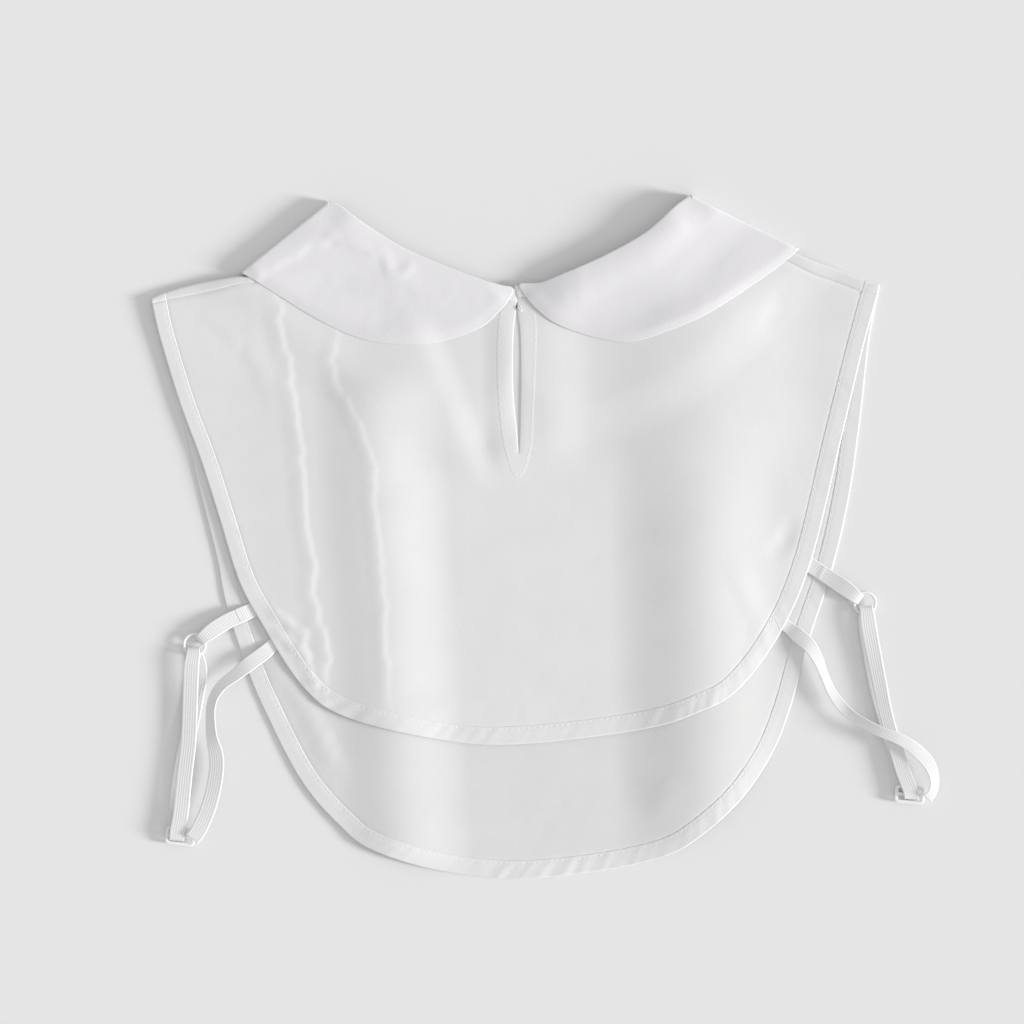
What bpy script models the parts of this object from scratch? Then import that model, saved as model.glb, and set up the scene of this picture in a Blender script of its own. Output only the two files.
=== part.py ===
"""A detachable half-shirt with a peter pan collar, laid flat on a table with its back up.

The lower layers of the two collar halves lie on the table. The front panel lies on
them, face down, and rolls over at the shoulders to meet the back panel, which lies on
top. The upper layers of the collar halves lie on the back panel. Bias strips bind the
sides and hems, a facing strip edges the keyhole slit, and each side has an elastic tab,
a ring, an elastic strap and a slider.

The origin is on the table, midway along the garment, on its centre line. +X runs to the
right with the back seen from above, and +Y runs from the hem towards the neck. Left and
right are as seen from above. Tables and constants are in millimetres, and Blender's
units are metres.
"""
import math

import bmesh
import bpy
from mathutils import Matrix, Vector
from mathutils.geometry import delaunay_2d_cdt

MM = 0.001

# Walls and gaps
CLOTH = 1.0
BOUND = 1.4
GAP = 0.3
LAYER_STEP = 1.7
LEAF_STEP = 1.8
ELASTIC = 0.8

# Meshing
GRID = 13.0
EDGE_STEP = 11.0
SHOULDER_STEP = 8.0
CLEAR_OF_EDGE = 5.0
SAME_POINT = 0.01
TINY = 1e-12
ROLL_STEPS = 4
RING_STEPS = 20
WIRE_STEPS = 8
CORNER_STEPS = 4
SHARP_DEGREES = 50.0

# Rolls over the shoulders
PANEL_ROLL = 1.8
COLLAR_ROLL = 2.6
SHOULDER_RISE = 0.6
SHOULDER_FALL = 36.0
CROWNS = {"left": 0.3, "right": 3.0}
CROWN_FALL = 36.0
TIP_CLEAR = 32.0
NECK_ROWS = 7
LEAF_LIFT = 1.4
LEAF_FALL = 26.0
BINDING_AT_SHOULDER = 8.0

# Shoulder lines, from the tip to the neck: the outermost line of the roll, and the seam
SHOULDERS = {
    "left": (  # fold x, fold y, seam x, seam y
        (-182.0, 121.0, -181.3, 118.0),
        (-175.0, 124.0, -174.3, 119.8),
        (-167.0, 126.5, -165.8, 121.4),
        (-154.0, 129.5, -152.5, 123.8),
        (-139.0, 131.9, -136.9, 128.0),
        (-132.6, 132.2, -130.2, 128.6),
        (-120.0, 140.4, -117.0, 135.2),
        (-105.0, 151.5, -101.0, 145.5),
        (-94.0, 162.5, -89.0, 157.0),
    ),
    "right": (
        (182.3, 127.6, 181.0, 122.0),
        (174.3, 130.2, 172.6, 123.8),
        (162.5, 135.0, 160.3, 128.4),
        (150.8, 139.0, 148.8, 132.4),
        (142.0, 142.6, 139.6, 137.0),
        (127.0, 149.5, 124.5, 144.0),
        (109.0, 157.0, 106.0, 151.5),
        (92.0, 165.5, 88.5, 159.5),
    ),
}

# Outer edges, from the left shoulder round the hem to the right shoulder
FRONT_EDGE = (  # x, y, binding width
    (-176.8, 101.0, 7.6),
    (-171.6, 84.5, 7.6),
    (-166.0, 60.0, 7.6),
    (-158.7, 29.0, 7.6),
    (-149.3, -8.2, 7.8),
    (-145.0, -30.5, 8.0),
    (-137.0, -56.2, 8.2),
    (-127.2, -81.0, 8.4),
    (-107.5, -119.5, 8.6),
    (-87.5, -143.0, 8.8),
    (-71.0, -155.0, 9.0),
    (-37.5, -165.3, 9.0),
    (2.0, -169.2, 9.2),
    (42.5, -165.4, 9.2),
    (74.5, -158.2, 9.0),
    (92.5, -148.2, 9.0),
    (113.0, -129.5, 8.8),
    (128.5, -106.8, 8.6),
    (138.0, -82.8, 8.4),
    (147.5, -48.8, 8.4),
    (158.5, -15.0, 8.2),
    (166.8, 20.5, 8.2),
    (172.5, 60.0, 8.0),
    (177.0, 100.0, 8.0),
)
BACK_EDGE = (
    (-177.4, 101.0, 7.4),
    (-167.5, 68.5, 7.4),
    (-157.0, 40.0, 7.6),
    (-147.5, 10.0, 7.8),
    (-138.5, -19.0, 8.0),
    (-128.5, -38.5, 8.2),
    (-107.5, -71.5, 8.6),
    (-85.5, -88.0, 8.8),
    (-37.5, -99.8, 9.0),
    (2.0, -102.0, 9.2),
    (62.5, -94.8, 9.2),
    (92.5, -85.5, 9.0),
    (112.0, -74.0, 8.8),
    (132.5, -46.5, 8.6),
    (148.0, -10.5, 8.8),
    (162.5, 48.2, 9.0),
    (173.5, 94.5, 8.4),
)

# The neck: the front panel's edge, then the two strips that bind the back panel's edge
FRONT_NECK = (  # x, y, from the left shoulder to the right
    (-91.5, 160.0),
    (-80.0, 139.0),
    (-58.0, 124.0),
    (-30.0, 117.5),
    (0.0, 115.8),
    (31.0, 118.0),
    (58.0, 125.5),
    (78.0, 142.5),
    (89.5, 162.5),
)
NECK_STRIPS = {
    "left": (  # lower x, lower y, upper x, upper y, from the centre to the shoulder
        (0.1, 118.4, 0.1, 124.4),
        (-19.0, 123.0, -17.3, 128.6),
        (-39.5, 130.6, -37.2, 136.2),
        (-60.0, 139.4, -57.2, 145.0),
        (-80.3, 152.0, -77.2, 157.4),
        (-87.3, 157.6, -84.6, 161.8),
    ),
    "right": (
        (0.7, 121.4, 0.9, 126.2),
        (13.5, 121.6, 12.6, 127.0),
        (25.0, 125.4, 22.8, 130.6),
        (45.0, 134.2, 42.6, 139.4),
        (65.0, 145.2, 62.0, 150.2),
        (75.5, 153.6, 72.2, 158.0),
        (84.8, 161.0, 81.2, 165.0),
    ),
}

# How high the back panel's neck edge is beside the facing, and how far its own points
# stay from there
NECK_BY_FACING = {"left": 119.6, "right": 120.9}
CLEAR_OF_FACING = 1.0

# The keyhole slit and the facing strip round it
FACING = (  # y, outer left x, slit left x, slit right x, outer right x
    (117.8, -7.4, 0.5, 0.95, 10.2),
    (113.0, -8.2, 0.4, 1.3, 10.6),
    (105.5, -9.2, -0.6, 2.3, 11.2),
    (91.0, -9.5, -1.1, 2.8, 10.9),
    (72.5, -9.1, -0.8, 2.7, 10.2),
    (54.5, -7.4, 0.6, 2.6, 9.5),
    (47.0, -6.2, 1.3, 2.4, 9.0),
)
FACING_TOP_RIGHT = 121.0
SLIT_END = (1.9, 43.5)
FACING_POINT = ((-2.6, 35.0), (1.5, 30.5), (5.8, 35.0))
THREAD_LOOP = ((1.9, 117.0), (3.2, 114.4))
THREAD_RADIUS = 0.5

# The collar halves: the shoulder fold, then each layer's edge from the peak, along the
# neck to the centre and back along the outer edge to the fold's outer corner
COLLARS = {
    "left": {
        "fold": ((-137.2, 133.6), (-92.8, 169.3)),
        "upper": (
            (-87.0, 167.0), (-77.5, 159.7), (-57.5, 147.0), (-37.5, 138.0), (-17.5, 130.5),
            (-7.0, 127.4), (-1.2, 126.0), (-2.6, 120.6), (-8.0, 114.0), (-17.5, 106.0),
            (-37.5, 99.0), (-57.5, 97.8), (-77.5, 100.6), (-97.5, 109.5), (-117.5, 121.5),
            (-131.0, 130.2),
        ),
        "lower": (
            (-86.0, 152.0), (-74.0, 136.0), (-58.0, 123.5), (-32.0, 109.5), (-8.0, 104.6),
            (-2.0, 101.0), (-2.6, 92.0), (-8.0, 80.0), (-20.0, 71.0), (-38.0, 70.0),
            (-60.0, 77.0), (-84.0, 91.0), (-106.0, 107.0), (-124.0, 121.5),
        ),
    },
    "right": {
        "fold": ((142.0, 145.4), (87.6, 172.2)),
        "upper": (
            (80.0, 166.8), (72.5, 159.7), (62.5, 151.8), (42.5, 141.0), (22.5, 132.4),
            (12.5, 128.6), (2.4, 128.0), (4.6, 122.4), (11.0, 115.0), (21.5, 107.4),
            (40.0, 101.0), (56.0, 98.8), (70.0, 102.0), (94.5, 112.0), (121.0, 129.0),
            (134.0, 138.4),
        ),
        "lower": (
            (83.0, 153.0), (73.0, 137.5), (58.0, 124.5), (31.0, 110.0), (8.0, 104.6),
            (2.0, 101.0), (2.6, 92.0), (8.0, 80.0), (20.0, 71.0), (38.0, 71.0),
            (61.0, 79.0), (86.0, 95.0), (108.0, 114.0), (128.0, 133.0),
        ),
    },
}

# Soft folds that run down both panels
FOLDS = (  # crest x at the top and bottom, top y, bottom y, fade, height, left and right foot
    (93.5, 95.5, 0.0, -122.0, 70.0, 3.0, 46.0, 40.0),
    (93.5, 95.5, 0.0, -122.0, 70.0, 1.8, 46.0, 64.0),
    (93.5, 93.5, 105.0, 60.0, 50.0, 3.4, 60.0, 60.0),
    (-72.0, -58.0, 66.0, -150.0, 26.0, 2.2, 30.0, 37.0),
    (-72.0, -58.0, 70.0, -150.0, 26.0, 1.2, 80.0, 37.0),
    (-50.0, -26.0, 100.0, 40.0, 18.0, 1.1, 34.0, 17.0),
    (-4.0, -4.0, 104.0, 50.0, 26.0, 0.9, 13.0, 17.5),
    (13.5, 13.5, 104.0, 52.0, 26.0, 0.9, 17.5, 24.0),
)

# Rings and sliders
RING_RADIUS = 5.35
RING_WIRE = 0.65
RING_HEIGHT = 2.5
RING_CENTRES = {"left": (-160.0, -52.2), "right": (174.8, -31.5)}
SLIDER_LENGTH = 15.0
SLIDER_WIDTH = 9.2
SLIDER_BAR = 1.7
SLIDER_CORNER = 2.2
WINDOW_CORNER = 0.6
SLIDER_THICKNESS = 1.6
SLIDER_BASE = 1.4
SLIDERS = {"left": (-167.2, -148.0, -6.0), "right": (197.2, -127.2, -5.0)}

# Elastic: each row is a place on the centre line, the direction in plan of the ribbon's
# width, how far that width leans out of level, both in degrees, and the width itself
RIBBONS = {
    "tab_left": (  # x, y, z, across, lean, width
        (-131.8, -35.2, 2.2, 116.0, 0.0, 7.6),
        (-135.8, -37.0, 2.2, 116.0, 0.0, 7.8),
        (-143.0, -40.2, 3.0, 118.0, 0.0, 7.8),
        (-150.0, -44.4, 3.7, 122.0, 0.0, 7.8),
        (-155.0, -48.2, 4.0, 127.0, 0.0, 6.8),
        (-157.2, -50.0, 3.6, 128.4, 0.0, 5.8),
        (-157.8, -50.5, 2.5, 128.4, 0.0, 5.4),
        (-157.2, -50.0, 1.4, 128.4, 0.0, 5.8),
        (-155.0, -48.2, 1.0, 127.0, 0.0, 6.6),
        (-148.5, -43.4, 1.0, 122.0, 0.0, 7.2),
    ),
    "tab_right": (
        (148.8, -13.4, 2.2, 56.0, 0.0, 7.6),
        (157.0, -18.8, 2.2, 57.0, 0.0, 7.8),
        (165.0, -24.2, 3.5, 56.0, 0.0, 7.8),
        (169.4, -27.6, 4.0, 55.0, 0.0, 6.8),
        (171.8, -29.3, 3.6, 55.0, 0.0, 5.8),
        (172.4, -29.8, 2.5, 55.0, 0.0, 5.4),
        (171.8, -29.3, 1.4, 55.0, 0.0, 5.8),
        (169.4, -27.6, 1.0, 55.0, 0.0, 6.6),
        (163.6, -23.4, 1.0, 56.0, 0.0, 7.2),
    ),
    "strap_left_doubled": (
        (-169.1, -147.5, 0.6, -6.0, 0.0, 7.6),
        (-169.3, -142.0, 0.6, -3.0, 0.0, 7.8),
        (-168.9, -130.0, 0.6, -3.0, 0.0, 7.8),
        (-166.2, -111.0, 0.9, -10.0, 0.0, 7.8),
        (-162.6, -95.0, 1.2, -12.0, 0.0, 7.8),
        (-159.2, -78.0, 1.2, -6.0, 0.0, 7.8),
        (-157.6, -65.5, 1.1, 3.0, 0.0, 7.6),
        (-159.0, -58.0, 1.0, 6.0, 0.0, 6.8),
        (-160.0, -54.6, 1.4, 4.0, 0.0, 6.4),
        (-160.2, -53.8, 2.5, 3.0, 0.0, 6.4),
        (-160.4, -54.6, 3.7, 3.0, 0.0, 6.6),
        (-160.8, -58.0, 4.1, 3.0, 0.0, 7.2),
        (-161.6, -64.0, 4.0, 2.0, 4.0, 7.8),
        (-162.2, -80.0, 3.7, 1.0, 8.0, 7.8),
        (-163.0, -100.5, 3.7, -3.0, 8.0, 7.8),
        (-165.0, -118.0, 3.7, -6.0, 6.0, 7.8),
        (-166.8, -136.0, 3.9, -8.0, 2.0, 7.8),
        (-168.4, -145.0, 4.0, -6.0, 0.0, 7.8),
        (-168.8, -148.8, 3.9, -6.0, 0.0, 7.6),
        (-168.9, -149.8, 3.0, -6.0, 0.0, 7.6),
        (-168.9, -149.9, 1.9, -6.0, 0.0, 7.6),
    ),
    "strap_right_doubled": (
        (196.2, -126.9, 0.6, 2.0, 0.0, 7.4),
        (194.0, -121.5, 0.6, 14.0, 0.0, 7.8),
        (190.6, -108.0, 0.8, 18.0, 0.0, 7.8),
        (185.8, -92.0, 1.0, 16.0, 0.0, 7.8),
        (180.8, -73.0, 1.1, 13.0, 0.0, 7.8),
        (176.8, -52.0, 1.1, 8.0, 0.0, 7.8),
        (175.2, -42.0, 1.0, 2.0, 0.0, 7.2),
        (175.1, -37.0, 1.0, 0.0, 0.0, 6.8),
        (175.1, -34.0, 1.4, 0.0, 0.0, 6.4),
        (175.2, -33.1, 2.5, 0.0, 0.0, 6.4),
        (175.3, -34.0, 3.7, 0.0, 0.0, 6.6),
        (175.8, -37.2, 4.1, 0.0, 0.0, 7.2),
        (176.6, -43.5, 4.0, 3.0, 2.0, 7.8),
        (179.0, -56.2, 3.9, 8.0, 8.0, 7.6),
        (181.6, -69.5, 3.9, 10.0, 14.0, 7.4),
        (184.5, -84.0, 3.9, 12.0, 16.0, 7.0),
        (187.4, -95.5, 3.8, 14.0, 10.0, 7.0),
        (190.2, -104.0, 3.8, 17.0, 8.0, 7.2),
        (193.4, -114.5, 3.9, 19.0, 6.0, 7.4),
        (197.0, -124.0, 4.1, 12.0, 0.0, 7.4),
        (197.9, -128.0, 3.9, 0.0, 0.0, 7.2),
        (198.1, -129.1, 3.0, -5.0, 0.0, 7.2),
        (198.1, -129.2, 1.9, -5.0, 0.0, 7.2),
    ),
    "strap_left_loose": (
        (-121.6, -53.1, 2.3, -48.0, 0.0, 6.8),
        (-125.5, -56.5, 2.6, -48.0, 5.0, 7.4),
        (-133.0, -62.0, 3.8, -52.0, 20.0, 7.8),
        (-139.8, -67.5, 4.0, -50.0, 38.0, 7.8),
        (-145.8, -72.0, 4.0, -48.0, 45.0, 7.8),
        (-150.0, -77.5, 4.2, -32.0, 50.0, 7.8),
        (-151.8, -83.5, 4.3, -10.0, 52.0, 7.8),
        (-152.0, -90.5, 4.3, 2.0, 50.0, 7.8),
        (-151.3, -98.5, 4.2, 6.0, 42.0, 7.8),
        (-149.5, -106.0, 3.8, 8.0, 22.0, 7.8),
        (-149.0, -113.5, 3.6, -2.0, 18.0, 7.8),
        (-150.5, -124.0, 3.8, -14.0, 14.0, 7.8),
        (-153.5, -135.0, 4.6, -22.0, 8.0, 7.8),
        (-158.0, -145.0, 5.2, -36.0, 4.0, 7.8),
        (-161.2, -149.2, 5.3, -45.0, 0.0, 7.4),
    ),
    "strap_right_loose": (
        (136.6, -43.8, 2.7, 49.0, 0.0, 6.2),
        (141.5, -47.8, 3.2, 47.0, -5.0, 7.6),
        (147.0, -52.8, 4.3, 42.0, -26.0, 7.8),
        (151.0, -59.2, 4.4, 30.0, -44.0, 7.8),
        (154.2, -67.0, 4.2, 25.0, -55.0, 7.6),
        (158.2, -76.0, 4.4, 32.0, -48.0, 7.2),
        (163.2, -83.0, 4.8, 45.0, -20.0, 5.8),
        (168.8, -88.2, 5.9, 54.0, 20.0, 5.6),
        (175.2, -92.0, 7.3, 62.0, 36.0, 6.6),
        (182.2, -95.5, 8.4, 64.0, 40.0, 7.0),
        (189.5, -98.2, 8.6, 65.0, 36.0, 7.0),
        (196.2, -101.8, 7.8, 58.0, 20.0, 6.6),
        (202.0, -106.5, 6.8, 46.0, -10.0, 6.8),
        (207.0, -112.5, 6.0, 28.0, -30.0, 7.2),
        (209.2, -119.5, 5.6, 4.0, -48.0, 7.2),
        (208.5, -125.5, 5.4, -20.0, -46.0, 6.6),
        (205.6, -128.8, 5.4, -40.0, -26.0, 5.8),
    ),
}
RIBBON_SPLITS = 2

# Finishes: colour, roughness
FINISHES = {
    "satin": ((0.80, 0.79, 0.80), 0.42),
    "elastic": ((0.82, 0.82, 0.83), 0.80),
    "plastic": ((0.88, 0.88, 0.88), 0.30),
    "thread": ((0.90, 0.90, 0.90), 0.60),
}


def clear_scene():
    for obj in list(bpy.data.objects):
        bpy.data.objects.remove(obj, do_unlink=True)


def finish(kind, name):
    """One Principled material for each sub-part."""
    colour, roughness = FINISHES[kind]
    material = bpy.data.materials.new(f"{kind}_{name}")
    material.use_nodes = True
    shader = material.node_tree.nodes["Principled BSDF"]
    shader.inputs["Base Color"].default_value = (*colour, 1.0)
    shader.inputs["Roughness"].default_value = roughness
    return material


def add_object(name, mesh_builder, kind):
    mesh = bpy.data.meshes.new(name)
    mesh_builder.to_mesh(mesh)
    mesh_builder.free()
    mesh.materials.append(finish(kind, name))
    obj = bpy.data.objects.new(name, mesh)
    bpy.context.collection.objects.link(obj)
    mesh.shade_smooth()
    mesh.set_sharp_from_angle(angle=math.radians(SHARP_DEGREES))
    return obj


# Curves and distances in plan

def smooth_curve(rows, spacing=None, splits=None):
    """Rows on a Catmull-Rom curve through the given rows, ends included."""
    rows = [tuple(float(v) for v in row) for row in rows]
    ends = [rows[0], *rows, rows[-1]]
    out = [rows[0]]
    for before, here, there, after in zip(ends, ends[1:], ends[2:], ends[3:]):
        count = splits or max(1, round(math.dist(here[:2], there[:2]) / spacing))
        for k in range(1, count + 1):
            t = k / count
            out.append(tuple(
                0.5 * (2 * b + (c - a) * t + (2 * a - 5 * b + 4 * c - d) * t * t
                       + (3 * b - a - 3 * c + d) * t ** 3)
                for a, b, c, d in zip(before, here, there, after)))
    return out


def at_distance(curve, distance):
    """The row at a distance along a curve, measured on its first two columns."""
    for here, there in zip(curve, curve[1:]):
        length = math.dist(here[:2], there[:2])
        if distance <= length:
            t = distance / length
            return tuple(a + (b - a) * t for a, b in zip(here, there))
        distance -= length
    return curve[-1]


def curve_length(curve):
    return sum(math.dist(a[:2], b[:2]) for a, b in zip(curve, curve[1:]))


def offset_line(curve, amounts):
    """Each point of a curve, moved to the left of its direction by its own amount."""
    out = []
    for i, amount in enumerate(amounts):
        before = curve[max(i - 1, 0)]
        after = curve[min(i + 1, len(curve) - 1)]
        along = Vector((after[0] - before[0], after[1] - before[1])).normalized()
        out.append((curve[i][0] - along.y * amount, curve[i][1] + along.x * amount))
    return out


def segment_distance(x, y, a, b):
    dx, dy = b[0] - a[0], b[1] - a[1]
    t = ((x - a[0]) * dx + (y - a[1]) * dy) / max(dx * dx + dy * dy, TINY)
    t = min(max(t, 0.0), 1.0)
    return math.hypot(x - a[0] - t * dx, y - a[1] - t * dy)


def line_distance(x, y, line):
    return min(segment_distance(x, y, a, b) for a, b in zip(line, line[1:]))


def inside(x, y, outline):
    within = False
    for (ax, ay), (bx, by) in zip(outline, outline[1:] + outline[:1]):
        if (ay > y) != (by > y) and x < (bx - ax) * (y - ay) / (by - ay) + ax:
            within = not within
    return within


def ease(t):
    """0 to 1 with level ends."""
    t = min(max(t, 0.0), 1.0)
    return t * t * (3.0 - 2.0 * t)


def rounded(t):
    """1 at the middle, falling to 0 at 1, level at both."""
    return 0.5 + 0.5 * math.cos(math.pi * min(t, 1.0))


# Heights of the layers

SHOULDER_CURVES = {
    side: smooth_curve(rows, spacing=SHOULDER_STEP) for side, rows in SHOULDERS.items()}
SHOULDER_LINES = {side: [row[:2] for row in curve] for side, curve in SHOULDER_CURVES.items()}


def leaf_outline(side, layer):
    """A collar layer's outline without its fold, in order from the peak to the corner."""
    corner, peak = COLLARS[side]["fold"]
    curve = smooth_curve((peak, *COLLARS[side][layer], corner), spacing=EDGE_STEP)
    return curve[1:-1]


def fold_inward(side):
    """The unit direction in plan from a collar's fold towards its layers."""
    corner, peak = (Vector(p) for p in COLLARS[side]["fold"])
    along = (peak - corner).normalized()
    across = Vector((along.y, -along.x))
    return across if across.y < 0 else -across


def fold_stations(side):
    """Points where the collar's layers end and its roll begins, from corner to peak."""
    corner, peak = (Vector(p) for p in COLLARS[side]["fold"])
    count = round((peak - corner).length / EDGE_STEP)
    inward = fold_inward(side) * COLLAR_ROLL
    return [tuple(corner.lerp(peak, k / count) + inward) for k in range(count + 1)]


LOWER_LEAVES = {side: fold_stations(side) + leaf_outline(side, "lower") for side in COLLARS}


def fold_relief(x, y):
    """The height of the soft folds over the table."""
    height = 0.0
    for top_x, bottom_x, top_y, bottom_y, fade, tall, left_foot, right_foot in FOLDS:
        crest = top_x + (bottom_x - top_x) * (top_y - y) / (top_y - bottom_y)
        foot = left_foot if x < crest else right_foot
        beyond = max(y - top_y, bottom_y - y, 0.0)
        height += tall * rounded(abs(x - crest) / foot) * (1.0 - ease(beyond / fade))
    return height


def leaf_lift(x, y):
    """How far the collar's lower layers lift the front panel."""
    nearest = LEAF_FALL
    for outline in LOWER_LEAVES.values():
        if inside(x, y, outline):
            return LEAF_LIFT
        nearest = min(nearest, line_distance(x, y, outline + outline[:1]))
    return LEAF_LIFT * (1.0 - ease(nearest / LEAF_FALL))


def front_base(x, y):
    return fold_relief(x, y) + leaf_lift(x, y)


def back_base(x, y):
    nearest = min(line_distance(x, y, line) for line in SHOULDER_LINES.values())
    rise = SHOULDER_RISE * (1.0 - ease(nearest / SHOULDER_FALL))
    return front_base(x, y) + LAYER_STEP + rise


def neck_edge(side):
    """The upper collar layer's edge along the neck, from the peak to the centre."""
    rows = (COLLARS[side]["fold"][1], *COLLARS[side]["upper"][:NECK_ROWS])
    return smooth_curve(rows, spacing=EDGE_STEP)


NECK_EDGES = {side: neck_edge(side) for side in COLLARS}


def upper_leaf_base(x, y):
    """The upper collar layer's underside: it stands highest along the neck."""
    side = "left" if x < 0.0 else "right"
    line = NECK_EDGES[side]
    crown = CROWNS[side] * rounded(line_distance(x, y, line) / CROWN_FALL)
    crown *= ease(math.dist((x, y), line[-1]) / TIP_CLEAR)
    return back_base(x, y) + LEAF_STEP + crown


def table(x, y):
    return 0.0


# Cloth solids

def lattice(outlines):
    """Grid points inside an outline and clear of every edge, the same for each layer."""
    rise = GRID * math.sqrt(3.0) / 2.0
    xs = [p[0] for outline in outlines for p in outline]
    ys = [p[1] for outline in outlines for p in outline]
    points = []
    for row in range(math.floor(min(ys) / rise), math.ceil(max(ys) / rise) + 1):
        shift = GRID / 2.0 if row % 2 else 0.0
        for column in range(math.floor(min(xs) / GRID) - 1, math.ceil(max(xs) / GRID) + 1):
            x, y = column * GRID + shift, row * rise
            if not any(inside(x, y, outline) for outline in outlines):
                continue
            if all(line_distance(x, y, o + o[:1]) > CLEAR_OF_EDGE for o in outlines):
                points.append((x, y))
    return points


def triangulate(pieces, grid=True):
    """Split outlines that lie side by side into triangles, one list for each piece."""
    outlines = [loop for loops in pieces.values() for loop in loops]
    points, edges = [], []
    for loop in outlines:
        first = len(points)
        points += [tuple(p[:2]) for p in loop]
        edges += [(first + k, first + (k + 1) % len(loop)) for k in range(len(loop))]
    if grid:
        points += lattice([loops[0] for loops in pieces.values()])
    found = delaunay_2d_cdt([Vector(p) for p in points], edges, [], 0, SAME_POINT)
    flat = [(v.x, v.y) for v in found[0]]
    result = {}
    for name, (outline, *holes) in pieces.items():
        kept = []
        for face in found[2]:
            cx = sum(flat[i][0] for i in face) / len(face)
            cy = sum(flat[i][1] for i in face) / len(face)
            if inside(cx, cy, outline) and not any(inside(cx, cy, h) for h in holes):
                a, b, c = (Vector(flat[i]) for i in face)
                turn = (b - a).cross(c - a)
                kept.append(tuple(face) if turn > 0 else tuple(reversed(face)))
        result[name] = kept
    return flat, result


class Layer:
    """One layer of cloth: its lower and upper points over a flat triangulation."""

    def __init__(self, builder, flat, faces, base, thickness):
        self.builder = builder
        self.flat = flat
        self.faces = faces
        used = {i for face in faces for i in face}
        self.low, self.high = {}, {}
        for i in sorted(used):
            x, y = flat[i]
            z = base(x, y)
            self.low[i] = builder.verts.new((x * MM, y * MM, z * MM))
            self.high[i] = builder.verts.new((x * MM, y * MM, (z + thickness) * MM))

    def boundary(self):
        sides = {(a, b) for f in self.faces for a, b in zip(f, f[1:] + f[:1])}
        return [(a, b) for a, b in sides if (b, a) not in sides]

    def stations(self, points):
        """The vertex numbers at some boundary points, in the boundary's own direction."""
        numbers = [min(self.low, key=lambda i: math.dist(self.flat[i], p)) for p in points]
        edges = set(self.boundary())
        if (numbers[0], numbers[1]) not in edges:
            numbers.reverse()
        return numbers

    def close(self, folds=()):
        """Faces above and below, and a side wall along every edge that isn't a fold."""
        open_edges = {pair for fold in folds for pair in zip(fold, fold[1:])}
        for a, b, c in self.faces:
            self.builder.faces.new((self.high[a], self.high[b], self.high[c]))
            self.builder.faces.new((self.low[c], self.low[b], self.low[a]))
        for a, b in sorted(self.boundary()):
            if (a, b) not in open_edges:
                self.builder.faces.new(
                    (self.low[a], self.low[b], self.high[b], self.high[a]))


def build_roll(builder, outer, inner, capped):
    """Join rings of points round a fold: outer and inner surfaces and the two ends."""
    for k in range(len(outer) - 1):
        for i in range(len(outer[k]) - 1):
            builder.faces.new((outer[k][i], outer[k][i + 1], outer[k + 1][i + 1], outer[k + 1][i]))
            builder.faces.new((inner[k][i + 1], inner[k][i], inner[k + 1][i], inner[k + 1][i + 1]))
        builder.faces.new((outer[k][-1], inner[k][-1], inner[k + 1][-1], outer[k + 1][-1]))
        builder.faces.new((inner[k][0], outer[k][0], outer[k + 1][0], inner[k + 1][0]))
    if capped:
        for i in range(len(outer[-1]) - 1):
            builder.faces.new((outer[-1][i], outer[-1][i + 1], inner[-1][i + 1], inner[-1][i]))


def roll_rings(builder, starts, outward, reach, low, high, wall):
    """Rings of points on half ellipses that rise from one layer to the next."""
    outer, inner = [], []
    for k in range(1, ROLL_STEPS):
        angle = math.pi * k / ROLL_STEPS
        for rings, inset in ((outer, 0.0), (inner, wall)):
            ring = []
            for (x, y), away, z0, z1 in zip(starts, outward, low, high):
                out = (reach - inset) * math.sin(angle)
                middle, half = (z0 + z1) / 2.0, (z1 - z0) / 2.0 - inset
                z = middle - half * math.cos(angle)
                ring.append(builder.verts.new(
                    ((x + away[0] * out) * MM, (y + away[1] * out) * MM, z * MM)))
            rings.append(ring)
    return outer, inner


# The shoulders

def shoulder_row(side, distance):
    """Fold point, seam point and the unit direction from the seam out to the fold."""
    fold_x, fold_y, seam_x, seam_y = at_distance(SHOULDER_CURVES[side], distance)
    away = Vector((fold_x - seam_x, fold_y - seam_y)).normalized()
    return Vector((fold_x, fold_y)), Vector((seam_x, seam_y)), away


def shoulder_distances(side, bound):
    """Distances from the tip where the binding, or else the panel, has its points."""
    if bound:
        return [0.0, BINDING_AT_SHOULDER / 2.0, BINDING_AT_SHOULDER]
    first = BINDING_AT_SHOULDER + GAP
    length = curve_length(SHOULDER_CURVES[side])
    count = round((length - first) / EDGE_STEP)
    return [first + (length - first) * k / count for k in range(count + 1)]


def roll_start(side, distance):
    fold, _, away = shoulder_row(side, distance)
    return tuple(fold - away * PANEL_ROLL)


def seam_start(side, distance):
    _, seam, away = shoulder_row(side, distance)
    return tuple(seam - away * GAP)


def add_shoulder_roll(layer, side, bound, wall):
    """Roll the front layer over the shoulder, as far as the seam."""
    builder = layer.builder
    rows = [(d, roll_start(side, d)) for d in shoulder_distances(side, bound)]
    numbers = layer.stations([start for _, start in rows])
    if math.dist(layer.flat[numbers[0]], rows[0][1]) > SAME_POINT * 10:
        rows.reverse()
    starts = [start for _, start in rows]
    details = [shoulder_row(side, d) for d, _ in rows]
    outward = [away for _, _, away in details]
    low = [front_base(*start) for start in starts]
    high = [back_base(*start) + wall for start in starts]
    outer, inner = roll_rings(builder, starts, outward, PANEL_ROLL, low, high, wall)
    outer.insert(0, [layer.low[i] for i in numbers])
    inner.insert(0, [layer.high[i] for i in numbers])
    for points in (starts, [tuple(seam) for _, seam, _ in details]):
        tops, unders = [], []
        for x, y in points:
            z = back_base(x, y)
            tops.append(builder.verts.new((x * MM, y * MM, (z + wall) * MM)))
            unders.append(builder.verts.new((x * MM, y * MM, z * MM)))
        outer.append(tops)
        inner.append(unders)
    build_roll(builder, outer, inner, capped=True)
    return numbers


# The panels and their bindings

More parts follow.
